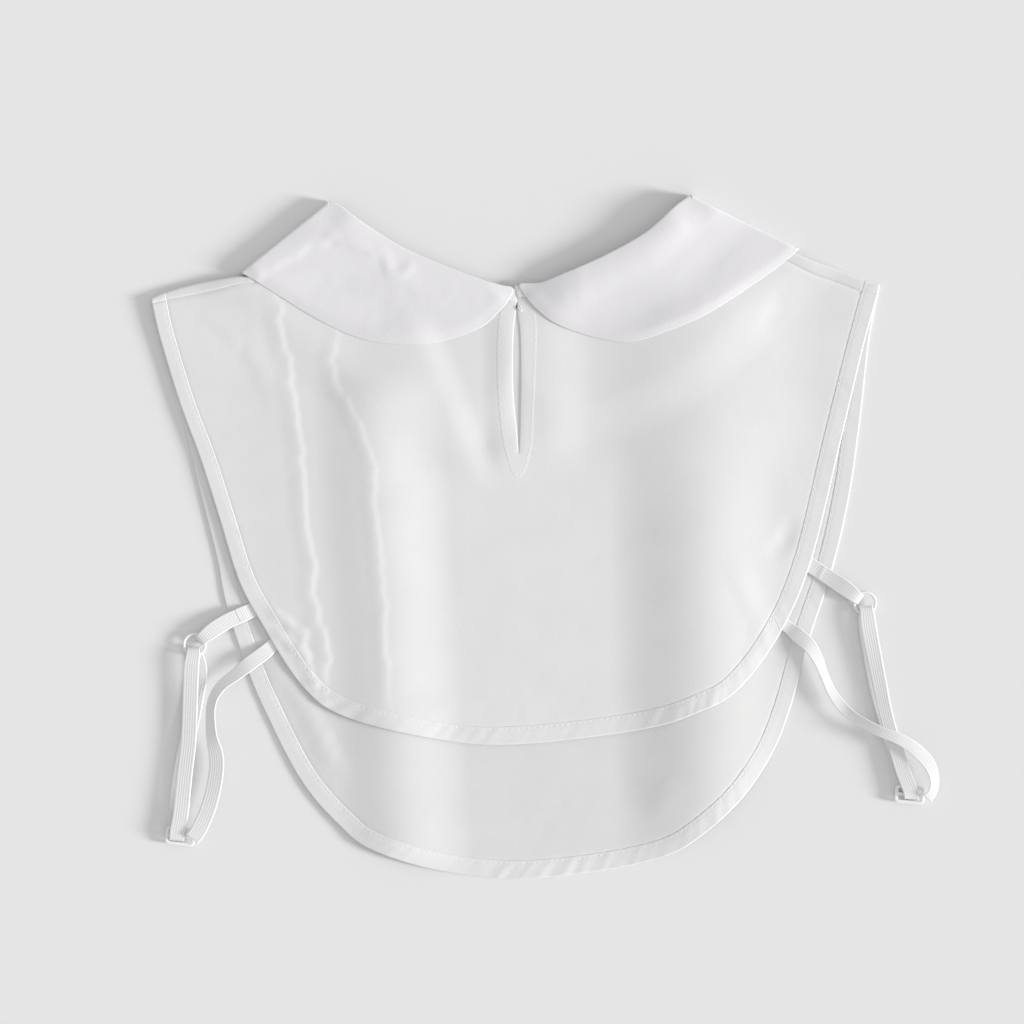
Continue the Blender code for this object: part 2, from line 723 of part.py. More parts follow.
def bound_edge(rows, first, last, inner_first, inner_last, panel_first, panel_last):
    """The outer edge, the binding's inner edge and the panel's edge, all left to right."""
    middle = smooth_curve(((*first, rows[0][2]), *rows, (*last, rows[-1][2])), spacing=EDGE_STEP)
    outer = [row[:2] for row in middle]
    strip = offset_line(outer, [row[2] for row in middle])
    panel = offset_line(outer, [row[2] + GAP for row in middle])
    strip = [inner_first, *strip[1:-1], inner_last]
    panel = [panel_first, *panel[1:-1], panel_last]
    return outer, strip, panel


def front_outlines():
    ends = {}
    for side in SHOULDERS:
        bound = [roll_start(side, d) for d in shoulder_distances(side, True)]
        plain = [roll_start(side, d) for d in shoulder_distances(side, False)]
        ends[side] = (bound, plain)
    outer, strip, panel = bound_edge(
        FRONT_EDGE, ends["left"][0][0], ends["right"][0][0], ends["left"][0][-1],
        ends["right"][0][-1], ends["left"][1][0], ends["right"][1][0])
    binding = outer + ends["right"][0][1:-1] + strip[::-1] + ends["left"][0][1:-1][::-1]
    neck = smooth_curve(FRONT_NECK, spacing=EDGE_STEP)[1:-1]
    body = panel + ends["right"][1][1:] + neck[::-1] + ends["left"][1][1:][::-1]
    return {"front_binding": [binding], "front_panel": [body]}


def facing_outline():
    left = [(row[1], row[0]) for row in FACING]
    right = [(row[4], row[0]) for row in FACING]
    slit_left = [(row[2], row[0]) for row in FACING]
    slit_right = [(row[3], row[0]) for row in FACING]
    right[0] = (right[0][0], FACING_TOP_RIGHT)
    slit_right[0] = (slit_right[0][0], FACING_TOP_RIGHT)
    outside = left + list(FACING_POINT) + right[::-1]
    slit = slit_left + [SLIT_END] + slit_right[::-1]
    return outside, outside + slit[::-1]


def neck_strip(side):
    rows = smooth_curve(NECK_STRIPS[side], spacing=EDGE_STEP)
    lower = [row[:2] for row in rows]
    upper = [row[2:] for row in rows]
    return lower, upper


def back_outlines():
    ends = {}
    for side in SHOULDERS:
        bound = [seam_start(side, d) for d in shoulder_distances(side, True)]
        plain = [seam_start(side, d) for d in shoulder_distances(side, False)]
        ends[side] = (bound, plain)
    outer, strip, panel = bound_edge(
        BACK_EDGE, ends["left"][0][0], ends["right"][0][0], ends["left"][0][-1],
        ends["right"][0][-1], ends["left"][1][0], ends["right"][1][0])
    binding = outer + ends["right"][0][1:-1] + strip[::-1] + ends["left"][0][1:-1][::-1]
    facing_outside, facing = facing_outline()
    pieces = {"back_binding": [binding], "keyhole_facing": [facing]}
    neck = {}
    for side in NECK_STRIPS:
        lower, upper = neck_strip(side)
        pieces[f"neck_binding_{side}"] = [lower + upper[::-1]]
        neck[side] = [(x, y - GAP) for x, y in lower]
    cut = offset_line(facing_outside, [-GAP] * len(facing_outside))
    left_neck = [p for p in neck["left"] if p[0] < cut[0][0] - CLEAR_OF_FACING]
    right_neck = [p for p in neck["right"] if p[0] > cut[-1][0] + CLEAR_OF_FACING]
    left_top = (cut[0][0], NECK_BY_FACING["left"])
    right_top = (cut[-1][0], NECK_BY_FACING["right"])
    body = (panel + ends["right"][1][1:] + right_neck[::-1] + [right_top] + cut[::-1]
            + [left_top] + left_neck + ends["left"][1][1:][::-1])
    pieces["back_panel"] = [body]
    return pieces


def add_front():
    pieces = front_outlines()
    flat, faces = triangulate(pieces)
    for name, wall, bound in (("front_panel", CLOTH, False), ("front_binding", BOUND, True)):
        builder = bmesh.new()
        layer = Layer(builder, flat, faces[name], front_base, wall)
        folds = [add_shoulder_roll(layer, side, bound, wall) for side in SHOULDERS]
        layer.close(folds)
        add_object(name, builder, "satin")


def add_back():
    pieces = back_outlines()
    flat, faces = triangulate(pieces)
    for name in pieces:
        builder = bmesh.new()
        wall = CLOTH if name == "back_panel" else BOUND
        Layer(builder, flat, faces[name], back_base, wall).close()
        add_object(name, builder, "satin")


def add_collar(side):
    """A collar half: its lower and upper layers, joined by the roll over the shoulder."""
    stations = fold_stations(side)
    builder = bmesh.new()
    layers = []
    for layer_name, base in (("lower", table), ("upper", upper_leaf_base)):
        outline = stations + leaf_outline(side, layer_name)
        flat, faces = triangulate({layer_name: [outline]})
        layers.append(Layer(builder, flat, faces[layer_name], base, CLOTH))
    lower, upper = layers
    low_numbers = lower.stations(stations)
    high_numbers = upper.stations(stations)
    starts = [lower.flat[i] for i in low_numbers]
    outward = [-fold_inward(side)] * len(starts)
    tops = [upper_leaf_base(*start) + CLOTH for start in starts]
    outer, inner = roll_rings(
        builder, starts, outward, COLLAR_ROLL, [0.0] * len(starts), tops, CLOTH)
    outer = [[lower.low[i] for i in low_numbers], *outer, [upper.high[i] for i in high_numbers]]
    inner = [[lower.high[i] for i in low_numbers], *inner, [upper.low[i] for i in high_numbers]]
    build_roll(builder, outer, inner, capped=False)
    lower.close([low_numbers])
    upper.close([high_numbers])
    add_object(f"collar_{side}", builder, "satin")


# Hard pieces, thread and elastic

def add_thread_loop():
    """A short round bar of thread across the top of the slit."""
    curve = bpy.data.curves.new("thread_path", "CURVE")
    curve.dimensions = "3D"
    curve.bevel_depth = THREAD_RADIUS * MM
    curve.bevel_resolution = 2
    curve.use_fill_caps = True
    spline = curve.splines.new("POLY")
    spline.points.add(len(THREAD_LOOP) - 1)
    for point, (x, y) in zip(spline.points, THREAD_LOOP):
        z = back_base(x, y) + BOUND + GAP + THREAD_RADIUS
        point.co = (x * MM, y * MM, z * MM, 1.0)
    curve.materials.append(finish("thread", "thread_loop"))
    obj = bpy.data.objects.new("thread_loop", curve)
    bpy.context.collection.objects.link(obj)


def add_ring(side):
    builder = bmesh.new()
    rows = []
    for k in range(RING_STEPS):
        turn = Matrix.Rotation(math.tau * k / RING_STEPS, 4, "Z")
        row = []
        for j in range(WIRE_STEPS):
            angle = math.tau * j / WIRE_STEPS
            reach = RING_RADIUS + RING_WIRE * math.cos(angle)
            point = turn @ Vector((reach, 0.0, RING_WIRE * math.sin(angle)))
            row.append(builder.verts.new(point * MM))
        rows.append(row)
    for here, there in zip(rows, rows[1:] + rows[:1]):
        for j in range(WIRE_STEPS):
            n = (j + 1) % WIRE_STEPS
            builder.faces.new((here[j], there[j], there[n], here[n]))
    obj = add_object(f"ring_{side}", builder, "plastic")
    x, y = RING_CENTRES[side]
    obj.location = (x * MM, y * MM, RING_HEIGHT * MM)


def rounded_rectangle(length, width, radius, steps, centre_y=0.0):
    points = []
    for quarter, (sx, sy) in enumerate(((1, 1), (-1, 1), (-1, -1), (1, -1))):
        cx, cy = sx * (length / 2.0 - radius), sy * (width / 2.0 - radius)
        for k in range(steps + 1):
            angle = math.pi / 2.0 * (quarter + k / steps)
            points.append((cx + radius * math.cos(angle), centre_y + cy + radius * math.sin(angle)))
    return points


def add_slider(side):
    """A flat frame with a bar across its middle."""
    window = (SLIDER_WIDTH - 3.0 * SLIDER_BAR) / 2.0
    shift = (window + SLIDER_BAR) / 2.0
    inner_length = SLIDER_LENGTH - 2.0 * SLIDER_BAR
    frame = rounded_rectangle(SLIDER_LENGTH, SLIDER_WIDTH, SLIDER_CORNER, CORNER_STEPS)
    holes = [rounded_rectangle(inner_length, window, WINDOW_CORNER, 1, s * shift)
             for s in (1, -1)]
    flat, faces = triangulate({"slider": [frame, *holes]}, grid=False)
    builder = bmesh.new()
    Layer(builder, flat, faces["slider"], table, SLIDER_THICKNESS).close()
    obj = add_object(f"slider_{side}", builder, "plastic")
    x, y, turn = SLIDERS[side]
    obj.location = (x * MM, y * MM, SLIDER_BASE * MM)
    obj.rotation_euler = (0.0, 0.0, math.radians(turn))


def add_ribbon(name, rows):
    """A flat ribbon swept along its centre line, with its width turned row by row."""
    path = smooth_curve(rows, splits=RIBBON_SPLITS)
    builder = bmesh.new()
    rings = []
    for i, (x, y, z, across, lean, width) in enumerate(path):
        before = Vector(path[max(i - 1, 0)][:3])
        after = Vector(path[min(i + 1, len(path) - 1)][:3])
        along = (after - before).normalized()
        flat_angle, tilt = math.radians(across), math.radians(lean)
        side = Vector((math.cos(flat_angle) * math.cos(tilt),
                       math.sin(flat_angle) * math.cos(tilt), math.sin(tilt)))
        side = (side - along * side.dot(along)).normalized()
        up = side.cross(along).normalized()
        centre = Vector((x, y, z))
        corners = ((-1, -1), (1, -1), (1, 1), (-1, 1))
        rings.append([
            builder.verts.new((centre + side * (s * width / 2.0) + up * (u * ELASTIC / 2.0)) * MM)
            for s, u in corners])
    for here, there in zip(rings, rings[1:]):
        for j in range(4):
            n = (j + 1) % 4
            builder.faces.new((here[j], here[n], there[n], there[j]))
    builder.faces.new(rings[0][::-1])
    builder.faces.new(rings[-1])
    bmesh.ops.recalc_face_normals(builder, faces=builder.faces)
    add_object(name, builder, "elastic")


def main():
    clear_scene()
    add_front()
    add_back()
    for side in ("left", "right"):
        add_collar(side)
        add_ring(side)
        add_slider(side)
    add_thread_loop()
    for name, rows in RIBBONS.items():
        add_ribbon(name, rows)


main()
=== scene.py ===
"""A detachable half-shirt with a peter pan collar, laid flat on a table with its back up.

Each cloth piece is a thin shell on the form of its solid, with creases, stitching and
weave added. Tables and constants are in millimetres, and Blender's units are metres.
Left and right are as seen from above, with the neck at the top.
"""
import math

import bmesh
import bpy
import numpy as np
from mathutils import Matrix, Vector, noise
from mathutils.geometry import delaunay_2d_cdt


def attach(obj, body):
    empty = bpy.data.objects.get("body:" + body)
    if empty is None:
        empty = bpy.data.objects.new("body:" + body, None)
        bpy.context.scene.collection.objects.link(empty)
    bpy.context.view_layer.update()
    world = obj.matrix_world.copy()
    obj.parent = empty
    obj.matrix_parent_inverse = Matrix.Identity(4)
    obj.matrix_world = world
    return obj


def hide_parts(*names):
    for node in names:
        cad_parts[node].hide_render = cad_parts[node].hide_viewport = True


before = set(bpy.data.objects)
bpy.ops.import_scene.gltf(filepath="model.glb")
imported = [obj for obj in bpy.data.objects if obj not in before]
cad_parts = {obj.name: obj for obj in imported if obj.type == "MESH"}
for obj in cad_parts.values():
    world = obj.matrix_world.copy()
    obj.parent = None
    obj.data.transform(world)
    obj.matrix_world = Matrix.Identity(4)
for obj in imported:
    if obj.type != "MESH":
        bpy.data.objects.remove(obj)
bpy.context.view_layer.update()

MM = 0.001
TINY = 1e-12

# Wall, gaps and rolls, as in the solids
CLOTH = 1.0
LAYER_STEP = 1.7
LEAF_STEP = 1.8
PANEL_ROLL = 1.8
COLLAR_ROLL = 2.6
SHOULDER_RISE = 0.6
SHOULDER_FALL = 36.0
CROWNS = {"left": 0.3, "right": 3.0}
CROWN_FALL = 36.0
TIP_CLEAR = 32.0
NECK_ROWS = 7
LEAF_LIFT = 1.4
LEAF_FALL = 26.0
BINDING_AT_SHOULDER = 8.0

# Thin shells
SATIN_HALF = 0.28
COLLAR_HALF = 0.30
COLLAR_RIM = 0.7
PANEL_RIM = 0.4
THIN_EDGE = 0.6
THIN_WIDTH = 3.0
TUCK = 1.6
ROLL_STEPS = 12
ROLL_END = 0.02
BACK_FINE = 1.5
FRONT_FINE = 1.8
COLLAR_FINE = 1.7
EDGE_STEP = 1.6
FINE_RIMS = (0.15, 0.45, 0.9)
PLAIN_RIMS = (0.4,)

# Seams: how far an edge runs on under the one that covers it, and how it dips there
SEAM_LAP = 1.0
SEAM_DIP = 0.38
SEAM_SOFT = 2.6
SEAM_ROWS = ((0.0, 0.0), (0.3, 0.0), (0.6, 0.02), (0.85, 0.10), (1.0, 0.28))  # place, dip
HEM_SOFT = 1.9

# Stitches
STITCH = 2.0
STITCH_PITCH = 2.8
STITCH_RADIUS = 0.15
STITCH_SIDES = 6
STITCH_SHAPE = (  # place along it, thickness, height
    (0.0, 0.35, -1.3),
    (0.12, 0.85, -0.25),
    (0.5, 1.0, 0.35),
    (0.88, 0.85, -0.25),
    (1.0, 0.35, -1.3),
)

# Shoulder lines, from the tip to the neck: the outermost line of the roll, and the seam
SHOULDERS = {
    "left": (  # fold x, fold y, seam x, seam y
        (-182.0, 121.0, -181.3, 118.0),
        (-175.0, 124.0, -174.3, 119.8),
        (-167.0, 126.5, -165.8, 121.4),
        (-154.0, 129.5, -152.5, 123.8),
        (-139.0, 131.9, -136.9, 128.0),
        (-132.6, 132.2, -130.2, 128.6),
        (-120.0, 140.4, -117.0, 135.2),
        (-105.0, 151.5, -101.0, 145.5),
        (-94.0, 162.5, -89.0, 157.0),
    ),
    "right": (
        (182.3, 127.6, 181.0, 122.0),
        (174.3, 130.2, 172.6, 123.8),
        (162.5, 135.0, 160.3, 128.4),
        (150.8, 139.0, 148.8, 132.4),
        (142.0, 142.6, 139.6, 137.0),
        (127.0, 149.5, 124.5, 144.0),
        (109.0, 157.0, 106.0, 151.5),
        (92.0, 165.5, 88.5, 159.5),
    ),
}

# Outer edges, from the left shoulder round the hem to the right shoulder
FRONT_EDGE = (  # x, y, binding width
    (-176.8, 101.0, 7.6),
    (-171.6, 84.5, 7.6),
    (-166.0, 60.0, 7.6),
    (-158.7, 29.0, 7.6),
    (-149.3, -8.2, 7.8),
    (-145.0, -30.5, 8.0),
    (-137.0, -56.2, 8.2),
    (-127.2, -81.0, 8.4),
    (-107.5, -119.5, 8.6),
    (-87.5, -143.0, 8.8),
    (-71.0, -155.0, 9.0),
    (-37.5, -165.3, 9.0),
    (2.0, -169.2, 9.2),
    (42.5, -165.4, 9.2),
    (74.5, -158.2, 9.0),
    (92.5, -148.2, 9.0),
    (113.0, -129.5, 8.8),
    (128.5, -106.8, 8.6),
    (138.0, -82.8, 8.4),
    (147.5, -48.8, 8.4),
    (158.5, -15.0, 8.2),
    (166.8, 20.5, 8.2),
    (172.5, 60.0, 8.0),
    (177.0, 100.0, 8.0),
)
BACK_EDGE = (
    (-177.4, 101.0, 7.4),
    (-167.5, 68.5, 7.4),
    (-157.0, 40.0, 7.6),
    (-147.5, 10.0, 7.8),
    (-138.5, -19.0, 8.0),
    (-128.5, -38.5, 8.2),
    (-107.5, -71.5, 8.6),
    (-85.5, -88.0, 8.8),
    (-37.5, -99.8, 9.0),
    (2.0, -102.0, 9.2),
    (62.5, -94.8, 9.2),
    (92.5, -85.5, 9.0),
    (112.0, -74.0, 8.8),
    (132.5, -46.5, 8.6),
    (148.0, -10.5, 8.8),
    (162.5, 48.2, 9.0),
    (173.5, 94.5, 8.4),
)

# The neck: the front panel's edge, then the two strips that bind the back panel's edge
FRONT_NECK = (  # x, y, from the left shoulder to the right
    (-91.5, 160.0),
    (-80.0, 139.0),
    (-58.0, 124.0),
    (-30.0, 117.5),
    (0.0, 115.8),
    (31.0, 118.0),
    (58.0, 125.5),
    (78.0, 142.5),
    (89.5, 162.5),
)
NECK_STRIPS = {
    "left": (  # lower x, lower y, upper x, upper y, from the centre to the shoulder
        (1.7, 118.2, 1.0, 126.0),
        (-2.5, 118.9, -2.3, 126.2),
        (-19.0, 123.0, -17.3, 128.6),
        (-39.5, 130.6, -37.2, 136.2),
        (-60.0, 139.4, -57.2, 145.0),
        (-80.3, 152.0, -77.2, 157.4),
        (-87.3, 157.6, -84.6, 161.8),
    ),
    "right": (
        (0.5, 120.9, -0.9, 127.5),
        (13.5, 121.6, 12.6, 127.0),
        (25.0, 125.4, 22.8, 130.6),
        (45.0, 134.2, 42.6, 139.4),
        (65.0, 145.2, 62.0, 150.2),
        (75.5, 153.6, 72.2, 158.0),
        (84.8, 161.0, 81.2, 165.0),
    ),
}

# The keyhole slit and the facing strip round it
FACING = (  # y, outer left x, slit left x, slit right x, outer right x
    (121.0, -7.1, 0.85, 0.95, 10.2),
    (113.0, -8.2, 0.4, 1.3, 10.6),
    (105.5, -9.2, -0.6, 2.3, 11.2),
    (91.0, -9.5, -1.1, 2.8, 10.9),
    (72.5, -9.1, -0.8, 2.7, 10.2),
    (54.5, -7.4, 0.9, 2.4, 9.5),
    (47.0, -6.2, 1.6, 2.1, 9.0),
)
FACING_TOP_RIGHT = 122.4
SLIT_END = (1.9, 43.5)
FACING_POINT = ((-2.6, 35.0), (1.5, 30.5), (5.8, 35.0))
THREAD_LOOP = ((1.9, 117.0), (3.2, 114.4))

# The collar halves: the shoulder fold, then each layer's edge from the peak, along the
# neck to the centre and back along the outer edge to the fold's outer corner
COLLARS = {
    "left": {
        "fold": ((-137.2, 133.6), (-92.8, 169.3)),
        "upper": (
            (-87.0, 167.0), (-77.5, 159.7), (-57.5, 147.0), (-37.5, 138.0), (-17.5, 130.5),
            (-7.0, 127.4), (-1.2, 126.0), (-2.6, 120.6), (-8.0, 114.0), (-17.5, 106.0),
            (-37.5, 99.0), (-57.5, 97.8), (-77.5, 100.6), (-97.5, 109.5), (-117.5, 121.5),
            (-131.0, 130.2),
        ),
        "lower": (
            (-86.0, 152.0), (-74.0, 136.0), (-58.0, 123.5), (-32.0, 109.5), (-8.0, 104.6),
            (-2.0, 101.0), (-2.6, 92.0), (-8.0, 80.0), (-20.0, 71.0), (-38.0, 70.0),
            (-60.0, 77.0), (-84.0, 91.0), (-106.0, 107.0), (-124.0, 121.5),
        ),
    },
    "right": {
        "fold": ((142.0, 145.4), (87.6, 172.2)),
        "upper": (
            (80.0, 166.8), (72.5, 159.7), (62.5, 151.8), (42.5, 141.0), (22.5, 132.4),
            (12.5, 128.6), (2.4, 128.0), (4.6, 122.4), (11.0, 115.0), (21.5, 107.4),
            (40.0, 101.0), (56.0, 98.8), (70.0, 102.0), (94.5, 112.0), (121.0, 129.0),
            (134.0, 138.4),
        ),
        "lower": (
            (83.0, 153.0), (73.0, 137.5), (58.0, 124.5), (31.0, 110.0), (8.0, 104.6),
            (2.0, 101.0), (2.6, 92.0), (8.0, 80.0), (20.0, 71.0), (38.0, 71.0),
            (61.0, 79.0), (86.0, 95.0), (108.0, 114.0), (128.0, 133.0),
        ),
    },
}

# Soft folds that run down both panels
FOLDS = (  # crest x at the top and bottom, top y, bottom y, fade, height, left and right foot
    (93.5, 95.5, 0.0, -122.0, 70.0, 3.0, 46.0, 40.0),
    (93.5, 95.5, 0.0, -122.0, 70.0, 1.8, 46.0, 64.0),
    (93.5, 93.5, 105.0, 60.0, 50.0, 3.4, 60.0, 60.0),
    (-72.0, -58.0, 66.0, -150.0, 26.0, 2.2, 30.0, 37.0),
    (-72.0, -58.0, 70.0, -150.0, 26.0, 1.2, 80.0, 37.0),
    (-50.0, -26.0, 100.0, 40.0, 18.0, 1.1, 34.0, 17.0),
    (-4.0, -4.0, 104.0, 50.0, 26.0, 0.9, 13.0, 17.5),
    (13.5, 13.5, 104.0, 52.0, 26.0, 0.9, 17.5, 24.0),
)

# Smaller creases, each along a listed line. The direction of a line gives its left
# and right, and both feet fade out over the given length at its ends.
BACK_CREASES = {
    "long crease on the left": (
        0.34, 2.6, 9.0, 24.0, (  # height, left foot, right foot, fade, then x and y
            (-118.5, 115.0), (-117.4, 104.0), (-116.0, 95.0), (-112.5, 82.0), (-111.5, 70.0),
            (-110.2, 60.0), (-108.0, 50.0), (-107.5, 40.0), (-106.0, 30.0), (-105.6, 19.0),
            (-104.0, 8.0), (-101.8, -5.0), (-101.5, -20.0), (-101.2, -30.0), (-97.5, -42.5),
            (-94.5, -55.0), (-95.0, -67.5))),
    "second crease on the left": (
        0.26, 2.6, 8.0, 24.0, (
            (-90.5, 99.5), (-92.4, 90.0), (-91.0, 79.0), (-85.0, 70.0), (-83.5, 65.0),
            (-78.5, 57.0), (-76.5, 51.5), (-72.8, 42.0), (-71.5, 34.5), (-70.5, 22.0),
            (-70.8, 10.5), (-68.0, -4.0), (-66.5, -20.0), (-65.2, -44.0), (-64.5, -71.5))),
    "crumple by the left side, upper": (
        0.55, 4.0, 5.0, 6.0, ((-121.0, -36.0), (-114.0, -41.0), (-107.0, -47.0))),
    "crumple by the left side, lower": (
        0.50, 5.0, 4.0, 6.0, ((-119.5, -47.0), (-113.0, -51.0), (-107.5, -57.0))),
    "crumple by the left side, inner": (
        0.45, 3.0, 7.0, 8.0, ((-106.0, -50.0), (-103.0, -62.0), (-101.0, -72.0))),
    "pull from the left shoulder": (
        0.35, 14.0, 9.0, 20.0, ((-150.0, 112.0), (-132.0, 96.0), (-122.0, 74.0))),
    "dent by the right side": (
        -0.45, 7.0, 7.0, 9.0, ((137.0, 6.0), (131.0, -4.0))),
    "dent under the right collar": (
        -0.20, 8.0, 7.0, 10.0, ((133.0, 121.0), (126.0, 108.0))),
    "slant by the right side": (
        0.30, 10.0, 8.0, 16.0, ((112.0, -20.0), (122.0, -44.0), (119.0, -62.0))),
    "slack above the hem": (
        0.22, 12.0, 10.0, 18.0, ((-40.0, -84.0), (-12.0, -80.0), (16.0, -83.0))),
}
FRONT_CREASES = {
    "fold on the left": (
        0.50, 8.0, 9.0, 16.0, ((-121.0, -62.0), (-106.0, -82.0), (-90.0, -112.0))),
    "round rise under the hem": (
        0.30, 16.0, 12.0, 9.0, ((70.0, -124.0), (75.0, -134.0))),
    "slack at the middle": (
        0.22, 14.0, 12.0, 22.0, ((-34.0, -140.0), (2.0, -136.0), (40.0, -141.0))),
    "hidden, on the left": (
        0.40, 14.0, 7.0, 26.0, ((-104.0, 90.0), (-98.0, 40.0), (-92.0, -30.0))),
    "hidden, on the right": (
        0.40, 8.0, 15.0, 26.0, ((46.0, 84.0), (52.0, 30.0), (40.0, -50.0))),
}
COLLAR_CREASES = {
    "left": {
        "irregular line under the shoulder": (
            0.40, 12.0, 4.0, 4.0, (
                (-129.5, 131.0), (-119.0, 138.0), (-108.5, 145.0), (-98.5, 148.0),
                (-92.0, 151.5))),
        "its end, towards the neck": (
            0.36, 5.5, 4.0, 4.0, (
                (-92.0, 151.5), (-87.0, 148.0), (-82.0, 146.5), (-69.0, 143.5),
                (-64.0, 137.5), (-61.5, 133.0), (-56.5, 132.5), (-51.5, 136.0))),
        "drag towards the tip": (
            0.30, 8.0, 6.0, 14.0, ((-58.0, 128.0), (-36.0, 122.0), (-14.0, 118.0))),
        "hollow below the line": (
            -0.35, 10.0, 12.0, 14.0, ((-104.0, 126.0), (-84.0, 124.0), (-62.0, 112.0))),
    },
    "right": {
        "broad rise from the peak": (
            0.55, 14.0, 17.0, 22.0, (
                (84.0, 164.0), (66.0, 148.0), (44.0, 134.0), (26.0, 124.0))),
        "hollow beside it": (
            -0.18, 10.0, 12.0, 16.0, ((104.0, 146.0), (86.0, 122.0), (60.0, 110.0))),
        "lift at the outer edge": (
            0.15, 6.0, 8.0, 12.0, ((118.0, 134.0), (96.0, 119.0), (72.0, 108.0))),
    },
}

CREASE_STEP = 2.0
JAG = 2.6
JAG_PITCH = 0.16
FADE_SPREAD = 1.6

# How high the front panel stands in the keyhole slit, close under the facing
SLIT_RISE = 1.24
SLIT_LEVEL = 1.5
SLIT_FALL = 9.0
SLIT_EDGE_DROP = 0.10
SLIT_EDGE_WIDTH = 2.4
SLIT_STEP = 0.9

# How high the smaller strips and the thread loop lie over the back panel's underside, and
# how far the left neck strip dips under the right one
FACING_LIFT = 0.62
FACING_HALF = 0.20
FACING_RIM = 0.6
FACING_FINE = 1.0
FACING_SEAM = 1.3
NECK_LIFT = 0.72
CROSS_DIP = 0.40
LOOP_LIFT = 1.25
LOOP_RADIUS = 0.24
NECK_HALF = 0.42
NECK_RIM = 1.0
NECK_SEAM_LIFT = 0.36
LOOP_WIDTH = 0.55
LOOP_DIP = 0.35

# Rolls: how far from its ends the collar's roll turns in, and how square the rolls are
END_ROUND = 5.0
COLLAR_SQUARE = 0.3
PANEL_SQUARE = 0.7

# How the collar halves settle on the back panel away from the neck, and how their outer
# edges and their peaks come down on it
SETTLES = {"left": 0.85, "right": 0.70}
SETTLE_WIDTH = 20.0
TIP_SETTLE = 14.0
EDGE_DROPS = {"left": (0.45, 6.0), "right": (0.50, 4.5)}  # depth, width
NECK_CLEAR = 6.0
PEAK_DROPS = {"left": 1.3, "right": 2.0}
PEAK_WIDTH = 17.0
OUTER_REST = 15.0
RESTED = 0.75

